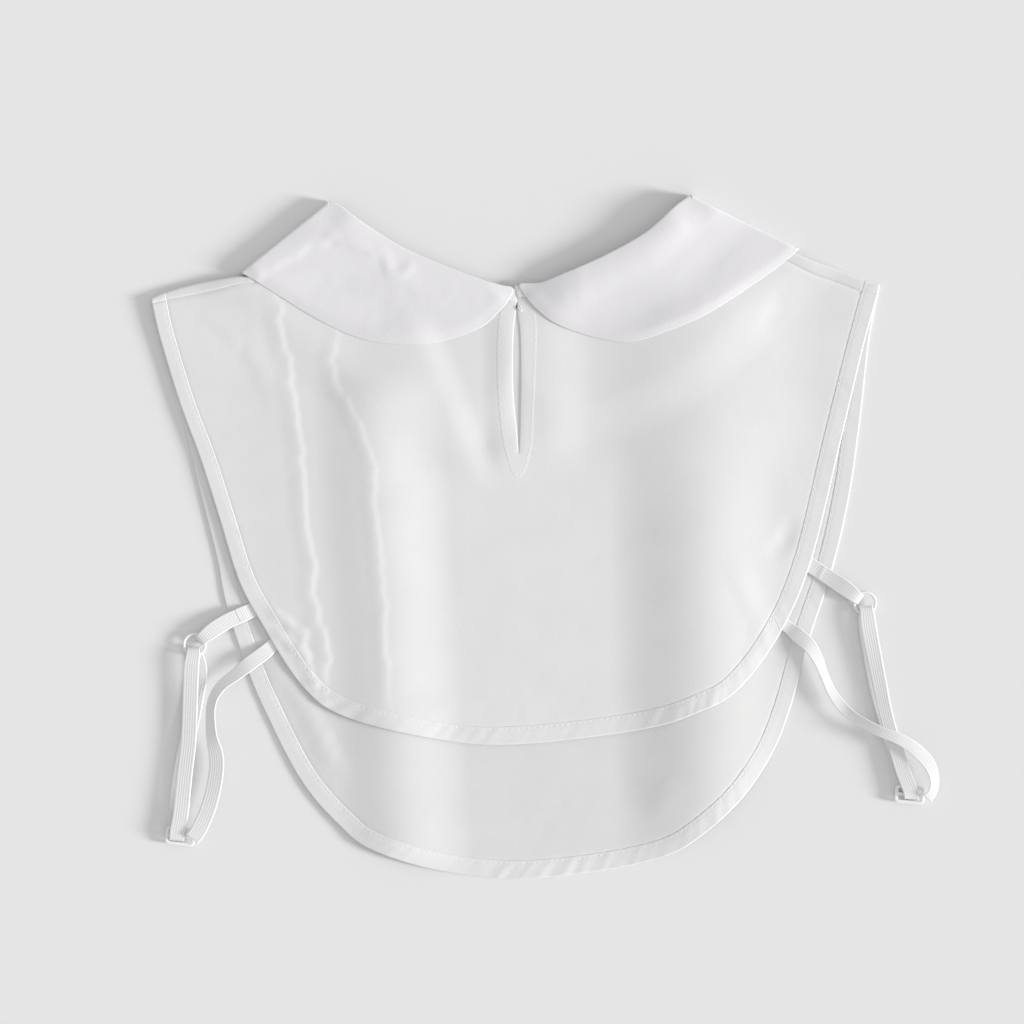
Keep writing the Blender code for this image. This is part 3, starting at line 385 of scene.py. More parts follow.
# Elastic: each row is a place on the centre line, the direction in plan of the ribbon's
# width, how far that width leans out of level, both in degrees, and the width itself
RIBBONS = {
    "tab_left": (  # x, y, z, across, lean, width
        (-131.8, -35.2, 2.2, 116.0, 0.0, 7.6),
        (-135.8, -37.0, 2.2, 116.0, 0.0, 7.8),
        (-143.0, -40.2, 3.0, 118.0, 0.0, 7.8),
        (-150.0, -44.4, 3.7, 122.0, 0.0, 7.8),
        (-155.0, -48.2, 4.0, 127.0, 0.0, 6.8),
        (-157.2, -50.0, 3.6, 128.4, 0.0, 5.8),
        (-157.8, -50.5, 2.5, 128.4, 0.0, 5.4),
        (-157.2, -50.0, 1.4, 128.4, 0.0, 5.8),
        (-155.0, -48.2, 1.0, 127.0, 0.0, 6.6),
        (-148.5, -43.4, 1.0, 122.0, 0.0, 7.2),
    ),
    "tab_right": (
        (148.8, -13.4, 2.2, 56.0, 0.0, 7.6),
        (157.0, -18.8, 2.2, 57.0, 0.0, 7.8),
        (165.0, -24.2, 3.5, 56.0, 0.0, 7.8),
        (169.4, -27.6, 4.0, 55.0, 0.0, 6.8),
        (171.8, -29.3, 3.6, 55.0, 0.0, 5.8),
        (172.4, -29.8, 2.5, 55.0, 0.0, 5.4),
        (171.8, -29.3, 1.4, 55.0, 0.0, 5.8),
        (169.4, -27.6, 1.0, 55.0, 0.0, 6.6),
        (163.6, -23.4, 1.0, 56.0, 0.0, 7.2),
    ),
    "strap_left_doubled": (
        (-169.1, -147.5, 0.6, -6.0, 0.0, 7.6),
        (-169.3, -142.0, 0.6, -3.0, 0.0, 7.8),
        (-168.9, -130.0, 0.6, -3.0, 0.0, 7.8),
        (-166.2, -111.0, 0.9, -10.0, 0.0, 7.8),
        (-162.6, -95.0, 1.2, -12.0, 0.0, 7.8),
        (-159.2, -78.0, 1.2, -6.0, 0.0, 7.8),
        (-157.6, -65.5, 1.1, 3.0, 0.0, 7.6),
        (-159.0, -58.0, 1.0, 6.0, 0.0, 6.8),
        (-160.0, -54.6, 1.4, 4.0, 0.0, 6.4),
        (-160.2, -53.8, 2.5, 3.0, 0.0, 6.4),
        (-160.4, -54.6, 3.7, 3.0, 0.0, 6.6),
        (-160.8, -58.0, 4.1, 3.0, 0.0, 7.2),
        (-161.6, -64.0, 4.0, 2.0, 4.0, 7.8),
        (-162.2, -80.0, 3.7, 1.0, 8.0, 7.8),
        (-163.0, -100.5, 3.7, -3.0, 8.0, 7.8),
        (-165.0, -118.0, 3.7, -6.0, 6.0, 7.8),
        (-166.8, -136.0, 3.9, -8.0, 2.0, 7.8),
        (-168.4, -145.0, 4.0, -6.0, 0.0, 7.8),
        (-168.8, -148.8, 3.9, -6.0, 0.0, 7.6),
        (-168.9, -149.8, 3.0, -6.0, 0.0, 7.6),
        (-168.9, -149.9, 1.9, -6.0, 0.0, 7.6),
    ),
    "strap_right_doubled": (
        (196.2, -126.9, 0.6, 2.0, 0.0, 7.4),
        (194.0, -121.5, 0.6, 14.0, 0.0, 7.8),
        (190.6, -108.0, 0.8, 18.0, 0.0, 7.8),
        (185.8, -92.0, 1.0, 16.0, 0.0, 7.8),
        (180.8, -73.0, 1.1, 13.0, 0.0, 7.8),
        (176.8, -52.0, 1.1, 8.0, 0.0, 7.8),
        (175.2, -42.0, 1.0, 2.0, 0.0, 7.2),
        (175.1, -37.0, 1.0, 0.0, 0.0, 6.8),
        (175.1, -34.0, 1.4, 0.0, 0.0, 6.4),
        (175.2, -33.1, 2.5, 0.0, 0.0, 6.4),
        (175.3, -34.0, 3.7, 0.0, 0.0, 6.6),
        (175.8, -37.2, 4.1, 0.0, 0.0, 7.2),
        (176.6, -43.5, 4.0, 3.0, 2.0, 7.8),
        (179.0, -56.2, 3.9, 8.0, 8.0, 7.6),
        (181.6, -69.5, 3.9, 10.0, 14.0, 7.4),
        (184.5, -84.0, 3.9, 12.0, 16.0, 7.0),
        (187.4, -95.5, 3.8, 14.0, 10.0, 7.0),
        (190.2, -104.0, 3.8, 17.0, 8.0, 7.2),
        (193.4, -114.5, 3.9, 19.0, 6.0, 7.4),
        (197.0, -124.0, 4.1, 12.0, 0.0, 7.4),
        (197.9, -128.0, 3.9, 0.0, 0.0, 7.2),
        (198.1, -129.1, 3.0, -5.0, 0.0, 7.2),
        (198.1, -129.2, 1.9, -5.0, 0.0, 7.2),
    ),
    "strap_left_loose": (
        (-121.6, -53.1, 2.3, -48.0, 0.0, 6.8),
        (-125.5, -56.5, 2.6, -48.0, 5.0, 7.4),
        (-133.0, -62.0, 3.8, -52.0, 20.0, 7.8),
        (-139.8, -67.5, 4.0, -50.0, 38.0, 7.8),
        (-145.8, -72.0, 4.0, -48.0, 45.0, 7.8),
        (-150.0, -77.5, 4.2, -32.0, 50.0, 7.8),
        (-151.8, -83.5, 4.3, -10.0, 52.0, 7.8),
        (-152.0, -90.5, 4.3, 2.0, 50.0, 7.8),
        (-151.3, -98.5, 4.2, 6.0, 42.0, 7.8),
        (-149.5, -106.0, 3.8, 8.0, 22.0, 7.8),
        (-149.0, -113.5, 3.6, -2.0, 18.0, 7.8),
        (-150.5, -124.0, 3.8, -14.0, 14.0, 7.8),
        (-153.5, -135.0, 4.6, -22.0, 8.0, 7.8),
        (-158.0, -145.0, 5.2, -36.0, 4.0, 7.8),
        (-161.2, -149.2, 5.3, -45.0, 0.0, 7.4),
    ),
    "strap_right_loose": (
        (136.6, -43.8, 2.7, 49.0, 0.0, 6.2),
        (141.5, -47.8, 3.2, 47.0, -5.0, 7.6),
        (147.0, -52.8, 4.3, 42.0, -26.0, 7.8),
        (151.0, -59.2, 4.4, 30.0, -44.0, 7.8),
        (154.2, -67.0, 4.2, 25.0, -55.0, 7.6),
        (158.2, -76.0, 4.4, 32.0, -48.0, 7.2),
        (163.2, -83.0, 4.8, 45.0, -20.0, 5.8),
        (168.8, -88.2, 5.9, 54.0, 20.0, 5.6),
        (175.2, -92.0, 7.3, 62.0, 36.0, 6.6),
        (182.2, -95.5, 8.4, 64.0, 40.0, 7.0),
        (189.5, -98.2, 8.6, 65.0, 36.0, 7.0),
        (196.2, -101.8, 7.8, 58.0, 20.0, 6.6),
        (202.0, -106.5, 6.8, 46.0, -10.0, 6.8),
        (207.0, -112.5, 6.0, 28.0, -30.0, 7.2),
        (209.2, -119.5, 5.6, 4.0, -48.0, 7.2),
        (208.5, -125.5, 5.4, -20.0, -46.0, 6.6),
        (205.6, -128.8, 5.4, -40.0, -26.0, 5.8),
    ),
}

KNIT_PITCH = 1.2
KNIT_WIDTH = 8.0
KNIT_FIELD = 0.38
RIBBON_STEP = 0.3
RIBBON_HALF = 0.28
RIBBON_RIM = 0.35
SELVEDGE_RISE = 0.07
KNIT_RISE = 0.20

# The knit is soft: a ribbon shows less lean than its solid, at the same width in plan.
# Its sewn end runs on under the back binding, by a length and at a height over the front.
LEAN_SHOWN = 0.35
TUCKED = 6.5
TUCKED_HEIGHT = 1.35
SEWN_RIBBONS = ("tab_left", "tab_right", "strap_left_loose", "strap_right_loose")

# Rows of stitches across the sewn ends of the elastic: from x, y, to x, y, and the height
ON_BACK = "on the back binding"
TACKS = {
    "tab_left": (-139.6, -34.8, -136.4, -41.2, 2.95),
    "tab_right": (155.2, -13.5, 152.2, -19.5, 2.65),
    "loose_left": (-120.0, -47.2, -115.6, -50.6, ON_BACK),
    "loose_right": (129.3, -37.6, 132.6, -44.6, ON_BACK),
}
TACK_PITCH = 1.1
TACK_LENGTH = 0.85
TACK_POINTS = 12

# Rings and sliders
RING_RADIUS = 5.35
RING_WIRE = 0.65
RING_HEIGHT = 2.5
RING_CENTRES = {"left": (-160.0, -52.2), "right": (174.8, -31.5)}
SLIDER_LENGTH = 15.0
SLIDER_WIDTH = 9.2
SLIDER_BAR = 1.7
SLIDER_CORNER = 2.2
SLIDER_WINDOW_CORNER = 0.6
SLIDER_ROUND = 0.35
SLIDER_THICKNESS = 1.6
SLIDER_BASE = 1.4
SLIDERS = {"left": (-167.2, -148.0, -6.0), "right": (197.2, -127.2, -5.0)}


# Curves and distances in plan

def smooth(rows, step, axes=2, least=1):
    """Rows on a Catmull-Rom curve through the given rows, about a step apart."""
    rows = np.array(rows, float)
    ends = np.vstack([rows[:1], rows, rows[-1:]])
    out = [rows[:1]]
    for a, b, c, d in zip(ends, ends[1:], ends[2:], ends[3:]):
        count = max(least, round(math.dist(b[:axes], c[:axes]) / step))
        t = (np.arange(1, count + 1) / count)[:, None]
        out.append(0.5 * (2 * b + (c - a) * t + (2 * a - 5 * b + 4 * c - d) * t * t
                          + (3 * b - a - 3 * c + d) * t ** 3))
    return np.vstack(out)


def lengths(curve):
    """The distance along a curve to each of its points."""
    steps = np.linalg.norm(np.diff(curve, axis=0), axis=1)
    return np.concatenate([[0.0], np.cumsum(steps)])


def at_distances(curve, distances):
    """Rows at given distances along a curve."""
    along = lengths(curve[:, :2])
    return np.stack([np.interp(distances, along, column) for column in curve.T], axis=1)


def sideways(curve):
    """The unit direction to the left of a curve at each of its points."""
    before = np.vstack([curve[:1, :2], curve[:-1, :2]])
    after = np.vstack([curve[1:, :2], curve[-1:, :2]])
    along = after - before
    along /= np.linalg.norm(along, axis=1)[:, None] + TINY
    return np.stack([-along[:, 1], along[:, 0]], axis=1)


def offset(curve, amounts):
    """Each point of a curve, moved to the left by its own amount."""
    return curve[:, :2] + sideways(curve) * np.broadcast_to(amounts, len(curve))[:, None]


def nearest(points, line):
    """Distance from a line, distance along it, and which side: 1 left, -1 right."""
    best = np.full(len(points), np.inf)
    along = np.zeros(len(points))
    side = np.ones(len(points))
    starts = lengths(line[:, :2])
    for k in range(len(line) - 1):
        a = line[k, :2]
        step = line[k + 1, :2] - a
        reach = points[:, :2] - a
        t = np.clip(reach @ step / max(step @ step, TINY), 0.0, 1.0)
        gap = np.hypot(reach[:, 0] - t * step[0], reach[:, 1] - t * step[1])
        closer = gap < best
        best = np.where(closer, gap, best)
        along = np.where(closer, starts[k] + t * math.sqrt(step @ step), along)
        turn = step[0] * reach[:, 1] - step[1] * reach[:, 0]
        side = np.where(closer, np.where(turn >= 0.0, 1.0, -1.0), side)
    return best, along, side


def closed(loop):
    return np.vstack([loop, loop[:1]])


def inside(points, loop):
    within = np.zeros(len(points), bool)
    x, y = points[:, 0], points[:, 1]
    for (ax, ay), (bx, by) in zip(loop, np.roll(loop, -1, axis=0)):
        if ay == by:
            continue
        crosses = ((ay > y) != (by > y)) & (x < (bx - ax) * (y - ay) / (by - ay) + ax)
        within ^= crosses
    return within


def ease(t):
    """0 to 1 with level ends."""
    t = np.clip(t, 0.0, 1.0)
    return t * t * (3.0 - 2.0 * t)


def rounded(t):
    """1 at the middle, falling to 0 at 1, level at both."""
    return 0.5 + 0.5 * np.cos(math.pi * np.minimum(np.abs(t), 1.0))


def squared_arc(k, power):
    """Step k of a roll from 0, below, to its top: how far out, and how high from -1 to 1."""
    angle = math.pi * k / ROLL_STEPS
    out, up = math.sin(angle), -math.cos(angle)
    return out ** power, math.copysign(abs(up) ** power, up)


# Heights of the layers

SHOULDER_CURVES = {side: smooth(rows, EDGE_STEP) for side, rows in SHOULDERS.items()}


def leaf_outline(side, layer):
    """A collar layer's outline without its fold, from the peak to the corner."""
    corner, peak = COLLARS[side]["fold"]
    return smooth((peak, *COLLARS[side][layer], corner), EDGE_STEP)[1:-1]


def fold_inward(side):
    """The unit direction in plan from a collar's fold towards its layers."""
    corner, peak = np.array(COLLARS[side]["fold"])
    along = (peak - corner) / np.linalg.norm(peak - corner)
    across = np.array([along[1], -along[0]])
    return across if across[1] < 0 else -across


def fold_stations(side, end_round=0.0):
    """Where a collar's layers meet its roll, corner to peak, and the roll's reach there."""
    corner, peak = np.array(COLLARS[side]["fold"])
    length = np.linalg.norm(peak - corner)
    t = np.linspace(0.0, 1.0, round(length / EDGE_STEP) + 1)
    from_end = np.minimum(t, 1.0 - t) * length
    short = np.maximum(1.0 - from_end / end_round, 0.0) if end_round else np.zeros(len(t))
    reach = COLLAR_ROLL * np.sqrt(1.0 - short ** 2)
    return corner + np.outer(t, peak - corner) + np.outer(reach, fold_inward(side)), reach


LOWER_LEAVES = [np.vstack([fold_stations(side)[0], leaf_outline(side, "lower")])
                for side in COLLARS]


def fold_relief(points):
    """The height of the soft folds over the table."""
    x, y = points[:, 0], points[:, 1]
    height = np.zeros(len(points))
    for top_x, bottom_x, top_y, bottom_y, fade, tall, left_foot, right_foot in FOLDS:
        crest = top_x + (bottom_x - top_x) * (top_y - y) / (top_y - bottom_y)
        foot = np.where(x < crest, left_foot, right_foot)
        beyond = np.maximum(np.maximum(y - top_y, bottom_y - y), 0.0)
        height += tall * rounded((x - crest) / foot) * (1.0 - ease(beyond / fade))
    return height


def leaf_lift(points):
    """How far the collar's lower layers lift the front panel."""
    lift = np.zeros(len(points))
    for loop in LOWER_LEAVES:
        away = np.where(inside(points, loop), 0.0, nearest(points, closed(loop))[0])
        lift = np.maximum(lift, LEAF_LIFT * (1.0 - ease(away / LEAF_FALL)))
    return lift


def creases(points, rows):
    """Soft ridges along given lines."""
    height = np.zeros(len(points))
    for tall, left_foot, right_foot, fade, line in rows.values():
        line = np.array(line, float)
        start = line[0] - line[1]
        end = line[-1] - line[-2]
        start *= fade / np.linalg.norm(start)
        end *= fade / np.linalg.norm(end)
        curve = smooth(np.vstack([line[0] + start, line, line[-1] + end]), CREASE_STEP)
        jags = [noise.noise(Vector((x, y, 0.0)) * JAG_PITCH) for x, y in curve]
        curve = offset(curve, JAG * np.array(jags))
        away, along, side = nearest(points, curve)
        foot = np.where(side > 0, left_foot, right_foot)
        total = lengths(curve)[-1]
        spread = FADE_SPREAD * fade
        ends = ease(along / spread) * ease((total - along) / spread)
        height += tall * rounded(away / foot) * ends
    return height


def slit_rise(points):
    """How the front panel stands up under the keyhole slit."""
    rows = np.array(FACING)
    line = np.column_stack([(rows[:, 2] + rows[:, 3]) / 2.0, rows[:, 0]])
    away = nearest(points, line)[0]
    return SLIT_RISE * (1.0 - ease((away - SLIT_LEVEL) / SLIT_FALL))


def front_base(points):
    return fold_relief(points) + leaf_lift(points)


def back_base(points):
    away = np.min([nearest(points, curve)[0] for curve in SHOULDER_CURVES.values()], axis=0)
    rise = SHOULDER_RISE * (1.0 - ease(away / SHOULDER_FALL))
    return front_base(points) + LAYER_STEP + rise


def collar_edges(side):
    """The upper collar layer's edges, along the neck and from the centre to the corner."""
    corner, peak = COLLARS[side]["fold"]
    rows = COLLARS[side]["upper"]
    neck = smooth((peak, *rows[:NECK_ROWS]), EDGE_STEP)
    return neck, smooth((*rows[NECK_ROWS - 1:], corner), EDGE_STEP)


COLLAR_EDGES = {side: collar_edges(side) for side in COLLARS}


def crown(points):
    """How much higher than the rest of it the upper collar layer stands along the neck."""
    crowns = []
    for side, (neck, _) in COLLAR_EDGES.items():
        height = CROWNS[side] * rounded(nearest(points, neck)[0] / CROWN_FALL)
        crowns.append(height * ease(np.hypot(*(points - neck[-1]).T) / TIP_CLEAR))
    return np.where(points[:, 0] < 0.0, *crowns)


def upper_leaf_base(points):
    return back_base(points) + LEAF_STEP + crown(points)


def table(points):
    return np.zeros(len(points))


# Meshes

def flat_mesh(loop, step, rims):
    """Triangles that fill a loop: rows of points along its rim, then an even grid."""
    area = np.sum(loop[:, 0] * np.roll(loop[:, 1], -1) - loop[:, 1] * np.roll(loop[:, 0], -1))
    if area < 0:
        loop = loop[::-1]
    ring = closed(loop)
    around = np.vstack([loop[-1:], ring, loop[:1]])
    inward = sideways(around)[1:-2]
    groups = [loop]
    for depth in rims:
        row = loop + inward * depth
        kept = inside(row, loop) & (nearest(row, ring)[0] > 0.85 * depth)
        groups.append(row[kept])
    low, high = loop.min(axis=0), loop.max(axis=0)
    rise = step * math.sqrt(3.0) / 2.0
    ys = np.arange(math.floor(low[1] / rise), math.ceil(high[1] / rise) + 1)
    xs = np.arange(math.floor(low[0] / step) - 1, math.ceil(high[0] / step) + 1)
    grid_x, grid_y = np.meshgrid(xs.astype(float), ys.astype(float))
    grid_x += 0.5 * (grid_y % 2)
    grid = np.stack([grid_x.ravel() * step, grid_y.ravel() * rise], axis=1)
    grid = grid[inside(grid, loop)]
    grid = grid[nearest(grid, ring)[0] > max(rims) + 0.55 * step]
    points = np.vstack([*groups, grid])
    count = len(loop)
    edges = [(k, (k + 1) % count) for k in range(count)]
    found = delaunay_2d_cdt([Vector(p) for p in points], edges, [], 0, 1e-4)
    flat = np.array([(v.x, v.y) for v in found[0]])
    faces = np.array([f for f in found[2] if len(f) == 3])
    faces = faces[inside(flat[faces].mean(axis=1), loop)]
    a, b, c = (flat[faces[:, k]] for k in range(3))
    turn = (b[:, 0] - a[:, 0]) * (c[:, 1] - a[:, 1]) - (b[:, 1] - a[:, 1]) * (c[:, 0] - a[:, 0])
    faces[turn < 0] = faces[turn < 0][:, ::-1]
    return flat, faces[np.abs(turn) > 1e-9]


class Surface:
    """The middle of a cloth wall: points in millimetres and faces."""

    def __init__(self):
        self.points = np.zeros((0, 3))
        self.faces = []

    def add_points(self, points):
        first = len(self.points)
        self.points = np.vstack([self.points, points])
        return np.arange(first, first + len(points))

    def add_flat(self, flat, faces, heights, upside_down=False):
        numbers = self.add_points(np.column_stack([flat, heights]))
        for face in faces:
            row = [int(numbers[i]) for i in face]
            self.faces.append(row[::-1] if upside_down else row)
        return numbers

    def add_band(self, here, there):
        """Quads between two rows of point numbers."""
        for a, b, c, d in zip(here, here[1:], there[1:], there):
            self.faces.append([int(b), int(a), int(d), int(c)])

    def find(self, numbers, spots):
        """The nearest of some points to each spot in plan."""
        plan = self.points[numbers][:, :2]
        return [int(numbers[np.argmin(np.hypot(*(plan - spot[:2]).T))]) for spot in spots]


def banded(rows):
    """A surface of quads between neighbouring rows of points."""
    surface = Surface()
    numbers = [surface.add_points(row) for row in rows]
    for here, there in zip(numbers, numbers[1:]):
        surface.add_band(here, there)
    return surface


def rim_edges(faces):
    """The edges that only one face has, in the direction that this face gives them."""
    found = {}
    for face in faces:
        for a, b in zip(face, face[1:] + face[:1]):
            found[(a, b)] = True
    return [(a, b) for a, b in found if (b, a) not in found]


def rim_distance(points, edges):
    """How far each point is from the nearest rim edge."""
    best = np.full(len(points), np.inf)
    for a, b in edges:
        step = points[b] - points[a]
        reach = points - points[a]
        t = np.clip(reach @ step / max(step @ step, TINY), 0.0, 1.0)
        gap = np.linalg.norm(reach - t[:, None] * step, axis=1)
        best = np.minimum(best, gap)
    return best


def surface_normals(points, faces):
    normals = np.zeros_like(points)
    for size in (3, 4):
        rows = np.array([f for f in faces if len(f) == size])
        if not len(rows):
            continue
        a, b, c = (points[rows[:, k]] for k in range(3))
        if size == 3:
            turned = np.cross(b - a, c - b)
        else:
            turned = np.cross(c - a, points[rows[:, 3]] - b)
        for k in range(size):
            np.add.at(normals, rows[:, k], turned)
    return normals / (np.linalg.norm(normals, axis=1)[:, None] + TINY)


def tube_faces(around, section):
    """Quads of a closed tube: sections of points, one after another round a loop."""
    faces = []
    for i in range(around):
        for j in range(section):
            n, m = (i + 1) % around, (j + 1) % section
            faces.append([i * section + j, n * section + j, n * section + m, i * section + m])
    return faces


def add_to_scene(name, data):
    obj = bpy.data.objects.new(name, data)
    bpy.context.scene.collection.objects.link(obj)
    return obj


def new_object(name, points, faces, material):
    mesh = bpy.data.meshes.new(name)
    mesh.from_pydata([tuple(p) for p in points * MM], [], faces)
    mesh.shade_smooth()
    mesh.materials.append(material)
    obj = add_to_scene(name, mesh)
    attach(obj, "root")
    return obj


def shell(name, surface, half, rim, material, node=None):
    """A closed thin wall round a surface, with a rounded rim."""
    points, faces = surface.points, surface.faces
    edges = rim_edges(faces)
    on_rim = {i for edge in edges for i in edge}
    away = rim_distance(points, edges)
    fall = 1.0 - np.minimum(away / rim, 1.0)
    thick = np.broadcast_to(half, len(points)) * np.sqrt(np.maximum(1.0 - fall * fall, 0.0))
    normals = surface_normals(points, faces)
    above = points + normals * thick[:, None]
    below = points - normals * thick[:, None]
    under = np.arange(len(points))
    inner = np.array([i not in on_rim for i in range(len(points))])
    under[inner] = len(points) + np.arange(inner.sum())
    above[~inner] = points[~inner]
    everything = np.vstack([above, below[inner]])
    both = faces + [[int(under[i]) for i in reversed(face)] for face in faces]
    obj = new_object(name, everything, both, material)
    if node:
        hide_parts(node)
    return obj


# Materials

def set_inputs(node, values):
    for name, value in values.items():
        node.inputs[name].default_value = value
    return node


def new_material(name, values):
    """A material, its node tree and its shader, with some of the shader's inputs set."""
    material = bpy.data.materials.new(name)
    material.use_nodes = True
    tree = material.node_tree
    return material, tree, set_inputs(tree.nodes["Principled BSDF"], values)


def texture(tree, kind, values):
    """A texture in the piece's own coordinates."""
    node = set_inputs(tree.nodes.new(kind), values)
    place = tree.nodes.new("ShaderNodeTexCoord")
    tree.links.new(place.outputs["Object"], node.inputs["Vector"])
    return node


def add_bump(tree, shader, height, strength):
    bump = tree.nodes.new("ShaderNodeBump")
    set_inputs(bump, {"Strength": strength, "Distance": BUMP_DISTANCE})
    tree.links.new(height, bump.inputs["Height"])
    tree.links.new(bump.outputs["Normal"], shader.inputs["Normal"])


BUMP_DISTANCE = 0.0004
SATIN_GRAIN = 0.21
PATCH_SHADE = 0.975
SPECK_SCALE = 1200.0


def satin(name, colour, roughness=0.46):
    """White satin: fine slanting weave, soft sheen and slight unevenness."""
    material, tree, shader = new_material(name, {
        "Roughness": roughness, "Specular IOR Level": 0.35, "Sheen Weight": 0.15,
        "Sheen Roughness": 0.5})
    patches = texture(tree, "ShaderNodeTexNoise", {"Scale": 45.0, "Detail": 3.0})
    tint = tree.nodes.new("ShaderNodeValToRGB")
    dark, light = tint.color_ramp.elements
    dark.position = 0.35
    dark.color = (*(c * PATCH_SHADE for c in colour), 1.0)
    light.position = 0.65
    light.color = (*colour, 1.0)
    tree.links.new(patches.outputs["Fac"], tint.inputs["Fac"])
    tree.links.new(tint.outputs["Color"], shader.inputs["Base Color"])
    threads = texture(tree, "ShaderNodeTexNoise", {"Scale": 950.0, "Detail": 2.0})
    weave = texture(tree, "ShaderNodeTexWave", {"Scale": 900.0, "Distortion": 1.5, "Detail": 1.0})
    weave.bands_direction = "DIAGONAL"
    both = tree.nodes.new("ShaderNodeMath")
    both.operation = "ADD"
    tree.links.new(threads.outputs["Fac"], both.inputs[0])
    tree.links.new(weave.outputs["Fac"], both.inputs[1])
    add_bump(tree, shader, both.outputs["Value"], SATIN_GRAIN)
    return material


def plain(name, colour, roughness, coat=0.0, bump_strength=0.03):
    material, tree, shader = new_material(name, {
        "Base Color": (*colour, 1.0), "Roughness": roughness, "Coat Weight": coat})
    specks = texture(tree, "ShaderNodeTexNoise", {"Scale": SPECK_SCALE})
    add_bump(tree, shader, specks.outputs["Fac"], bump_strength)
    return material


PANEL = satin("panel_satin", (0.790, 0.783, 0.785))
FRONT = satin("front_satin", (0.760, 0.752, 0.750))
TRIM = satin("binding_satin", (0.800, 0.795, 0.795), roughness=0.42)
LEAF = satin("collar_satin", (0.800, 0.785, 0.805), roughness=0.40)
ELASTIC = plain("elastic_knit", (0.80, 0.80, 0.805), 0.85, bump_strength=0.10)
PLASTIC = plain("white_plastic", (0.86, 0.86, 0.87), 0.28, coat=0.3)
THREAD = plain("white_thread", (0.86, 0.86, 0.87), 0.55)


# Shoulders

def shoulder_rows(side, distances):
    """Roll starts, seam points and outward directions at distances from the tip."""
    rows = at_distances(SHOULDER_CURVES[side], distances)
    fold, seam = rows[:, :2], rows[:, 2:]
    away = fold - seam
    away /= np.linalg.norm(away, axis=1)[:, None]
    return fold - away * PANEL_ROLL, seam, away


def roll_rows(starts, seam, away, lift, reach):
    """Rows of points from a roll's start, over the shoulder and on to the seam."""
    low = front_base(starts) + lift
    high = back_base(starts) + lift
    middle, half = (low + high) / 2.0, (high - low) / 2.0
    rows = []
    for k in range(1, ROLL_STEPS):
        out, up = squared_arc(k, PANEL_SQUARE)
        rows.append(np.column_stack([starts + away * reach * out, middle + half * up]))
    for t, dip in SEAM_ROWS:
        place = starts + (seam - starts) * t
        rows.append(np.column_stack([place, back_base(place) + lift - dip]))
    return rows


def bound_edge(rows, first, last):
    """A bound edge from shoulder to shoulder: the outer line and the binding's width."""
    curve = smooth(((*first, rows[0][2]), *rows, (*last, rows[-1][2])), EDGE_STEP)
    return curve[:, :2], curve[:, 2]


def panel_edges(rows, fold_or_seam):
    """A panel's outer edge, its binding's inner edge and, tucked under it, its own edge."""
    ends = {side: shoulder_rows(side, np.array([0.0, BINDING_AT_SHOULDER]))[fold_or_seam]
            for side in SHOULDERS}
    outer, width = bound_edge(rows, ends["left"][0], ends["right"][0])
    inner = offset(outer, width)
    inner[0], inner[-1] = ends["left"][1], ends["right"][1]
    return outer, inner, offset(outer, width - TUCK)


def past_binding(side):
    """The rows of a shoulder from under the binding's end to the neck."""
    total = lengths(SHOULDER_CURVES[side][:, :2])[-1]
    first = BINDING_AT_SHOULDER - TUCK
    count = round((total - first) / EDGE_STEP)
    return shoulder_rows(side, np.linspace(first, total, count + 1))


# The panels and their bindings

FOLD = 0
SEAM = 1
BINDING_SPOTS = np.array([0.0, 0.03, 0.07, 0.12, 0.165, 0.21, 0.26, 0.33, 0.41, 0.50, 0.59, 0.68,
                          0.77, 0.85, 0.92, 0.97, 1.0])
BINDING_WIDTH = 8.4
BINDING_LIFT = 0.57
BINDING_HALF = 0.38
BINDING_RIM = 0.35
THIN_SIDE = 0.80
THIN_SIDE_WIDTH = 3.6
GROOVE_PLACE = 1.38
GROOVE_WIDTH = 0.50
GROOVE_DEPTH = 0.14
PUCKER_HEIGHT = 0.42
PUCKER_START = 1.2
PUCKER_SLANT = 6.5
PUCKER_PITCH = 0.26
FINE_PITCH = 0.80
FINE_SHARE = 0.30
PATCH_PITCH = 0.021
LEAST_PUCKER = 0.10
SIDE_SHARE = 0.35
HEM_TOP = 20.0
HEM_SPREAD = 120.0
TUCK_DIP = 0.30
STITCH_SPOT = 4


def pucker(distances, across, seed):
    """Slanting puckers of a bias strip, uneven along it."""
    value = np.zeros((len(distances), len(across)))
    for i, d in enumerate(distances):
        strength = 0.55 + 1.1 * noise.noise(Vector((d * PATCH_PITCH, seed, 0.0)))
        for j, u in enumerate(across):
            slant = d + u * PUCKER_SLANT
            wave = noise.noise(Vector((slant * PUCKER_PITCH, seed + 3.7, u * 0.4)))
            fine = noise.noise(Vector((slant * FINE_PITCH, seed + 9.1, u)))
            value[i, j] = max(strength, LEAST_PUCKER) * (wave + FINE_SHARE * fine)
    return value


def hem_weight(points):
    """Puckers grow from the sides towards the curve of the hem."""
    return SIDE_SHARE + (1.0 - SIDE_SHARE) * ease((HEM_TOP - points[:, 1]) / HEM_SPREAD)


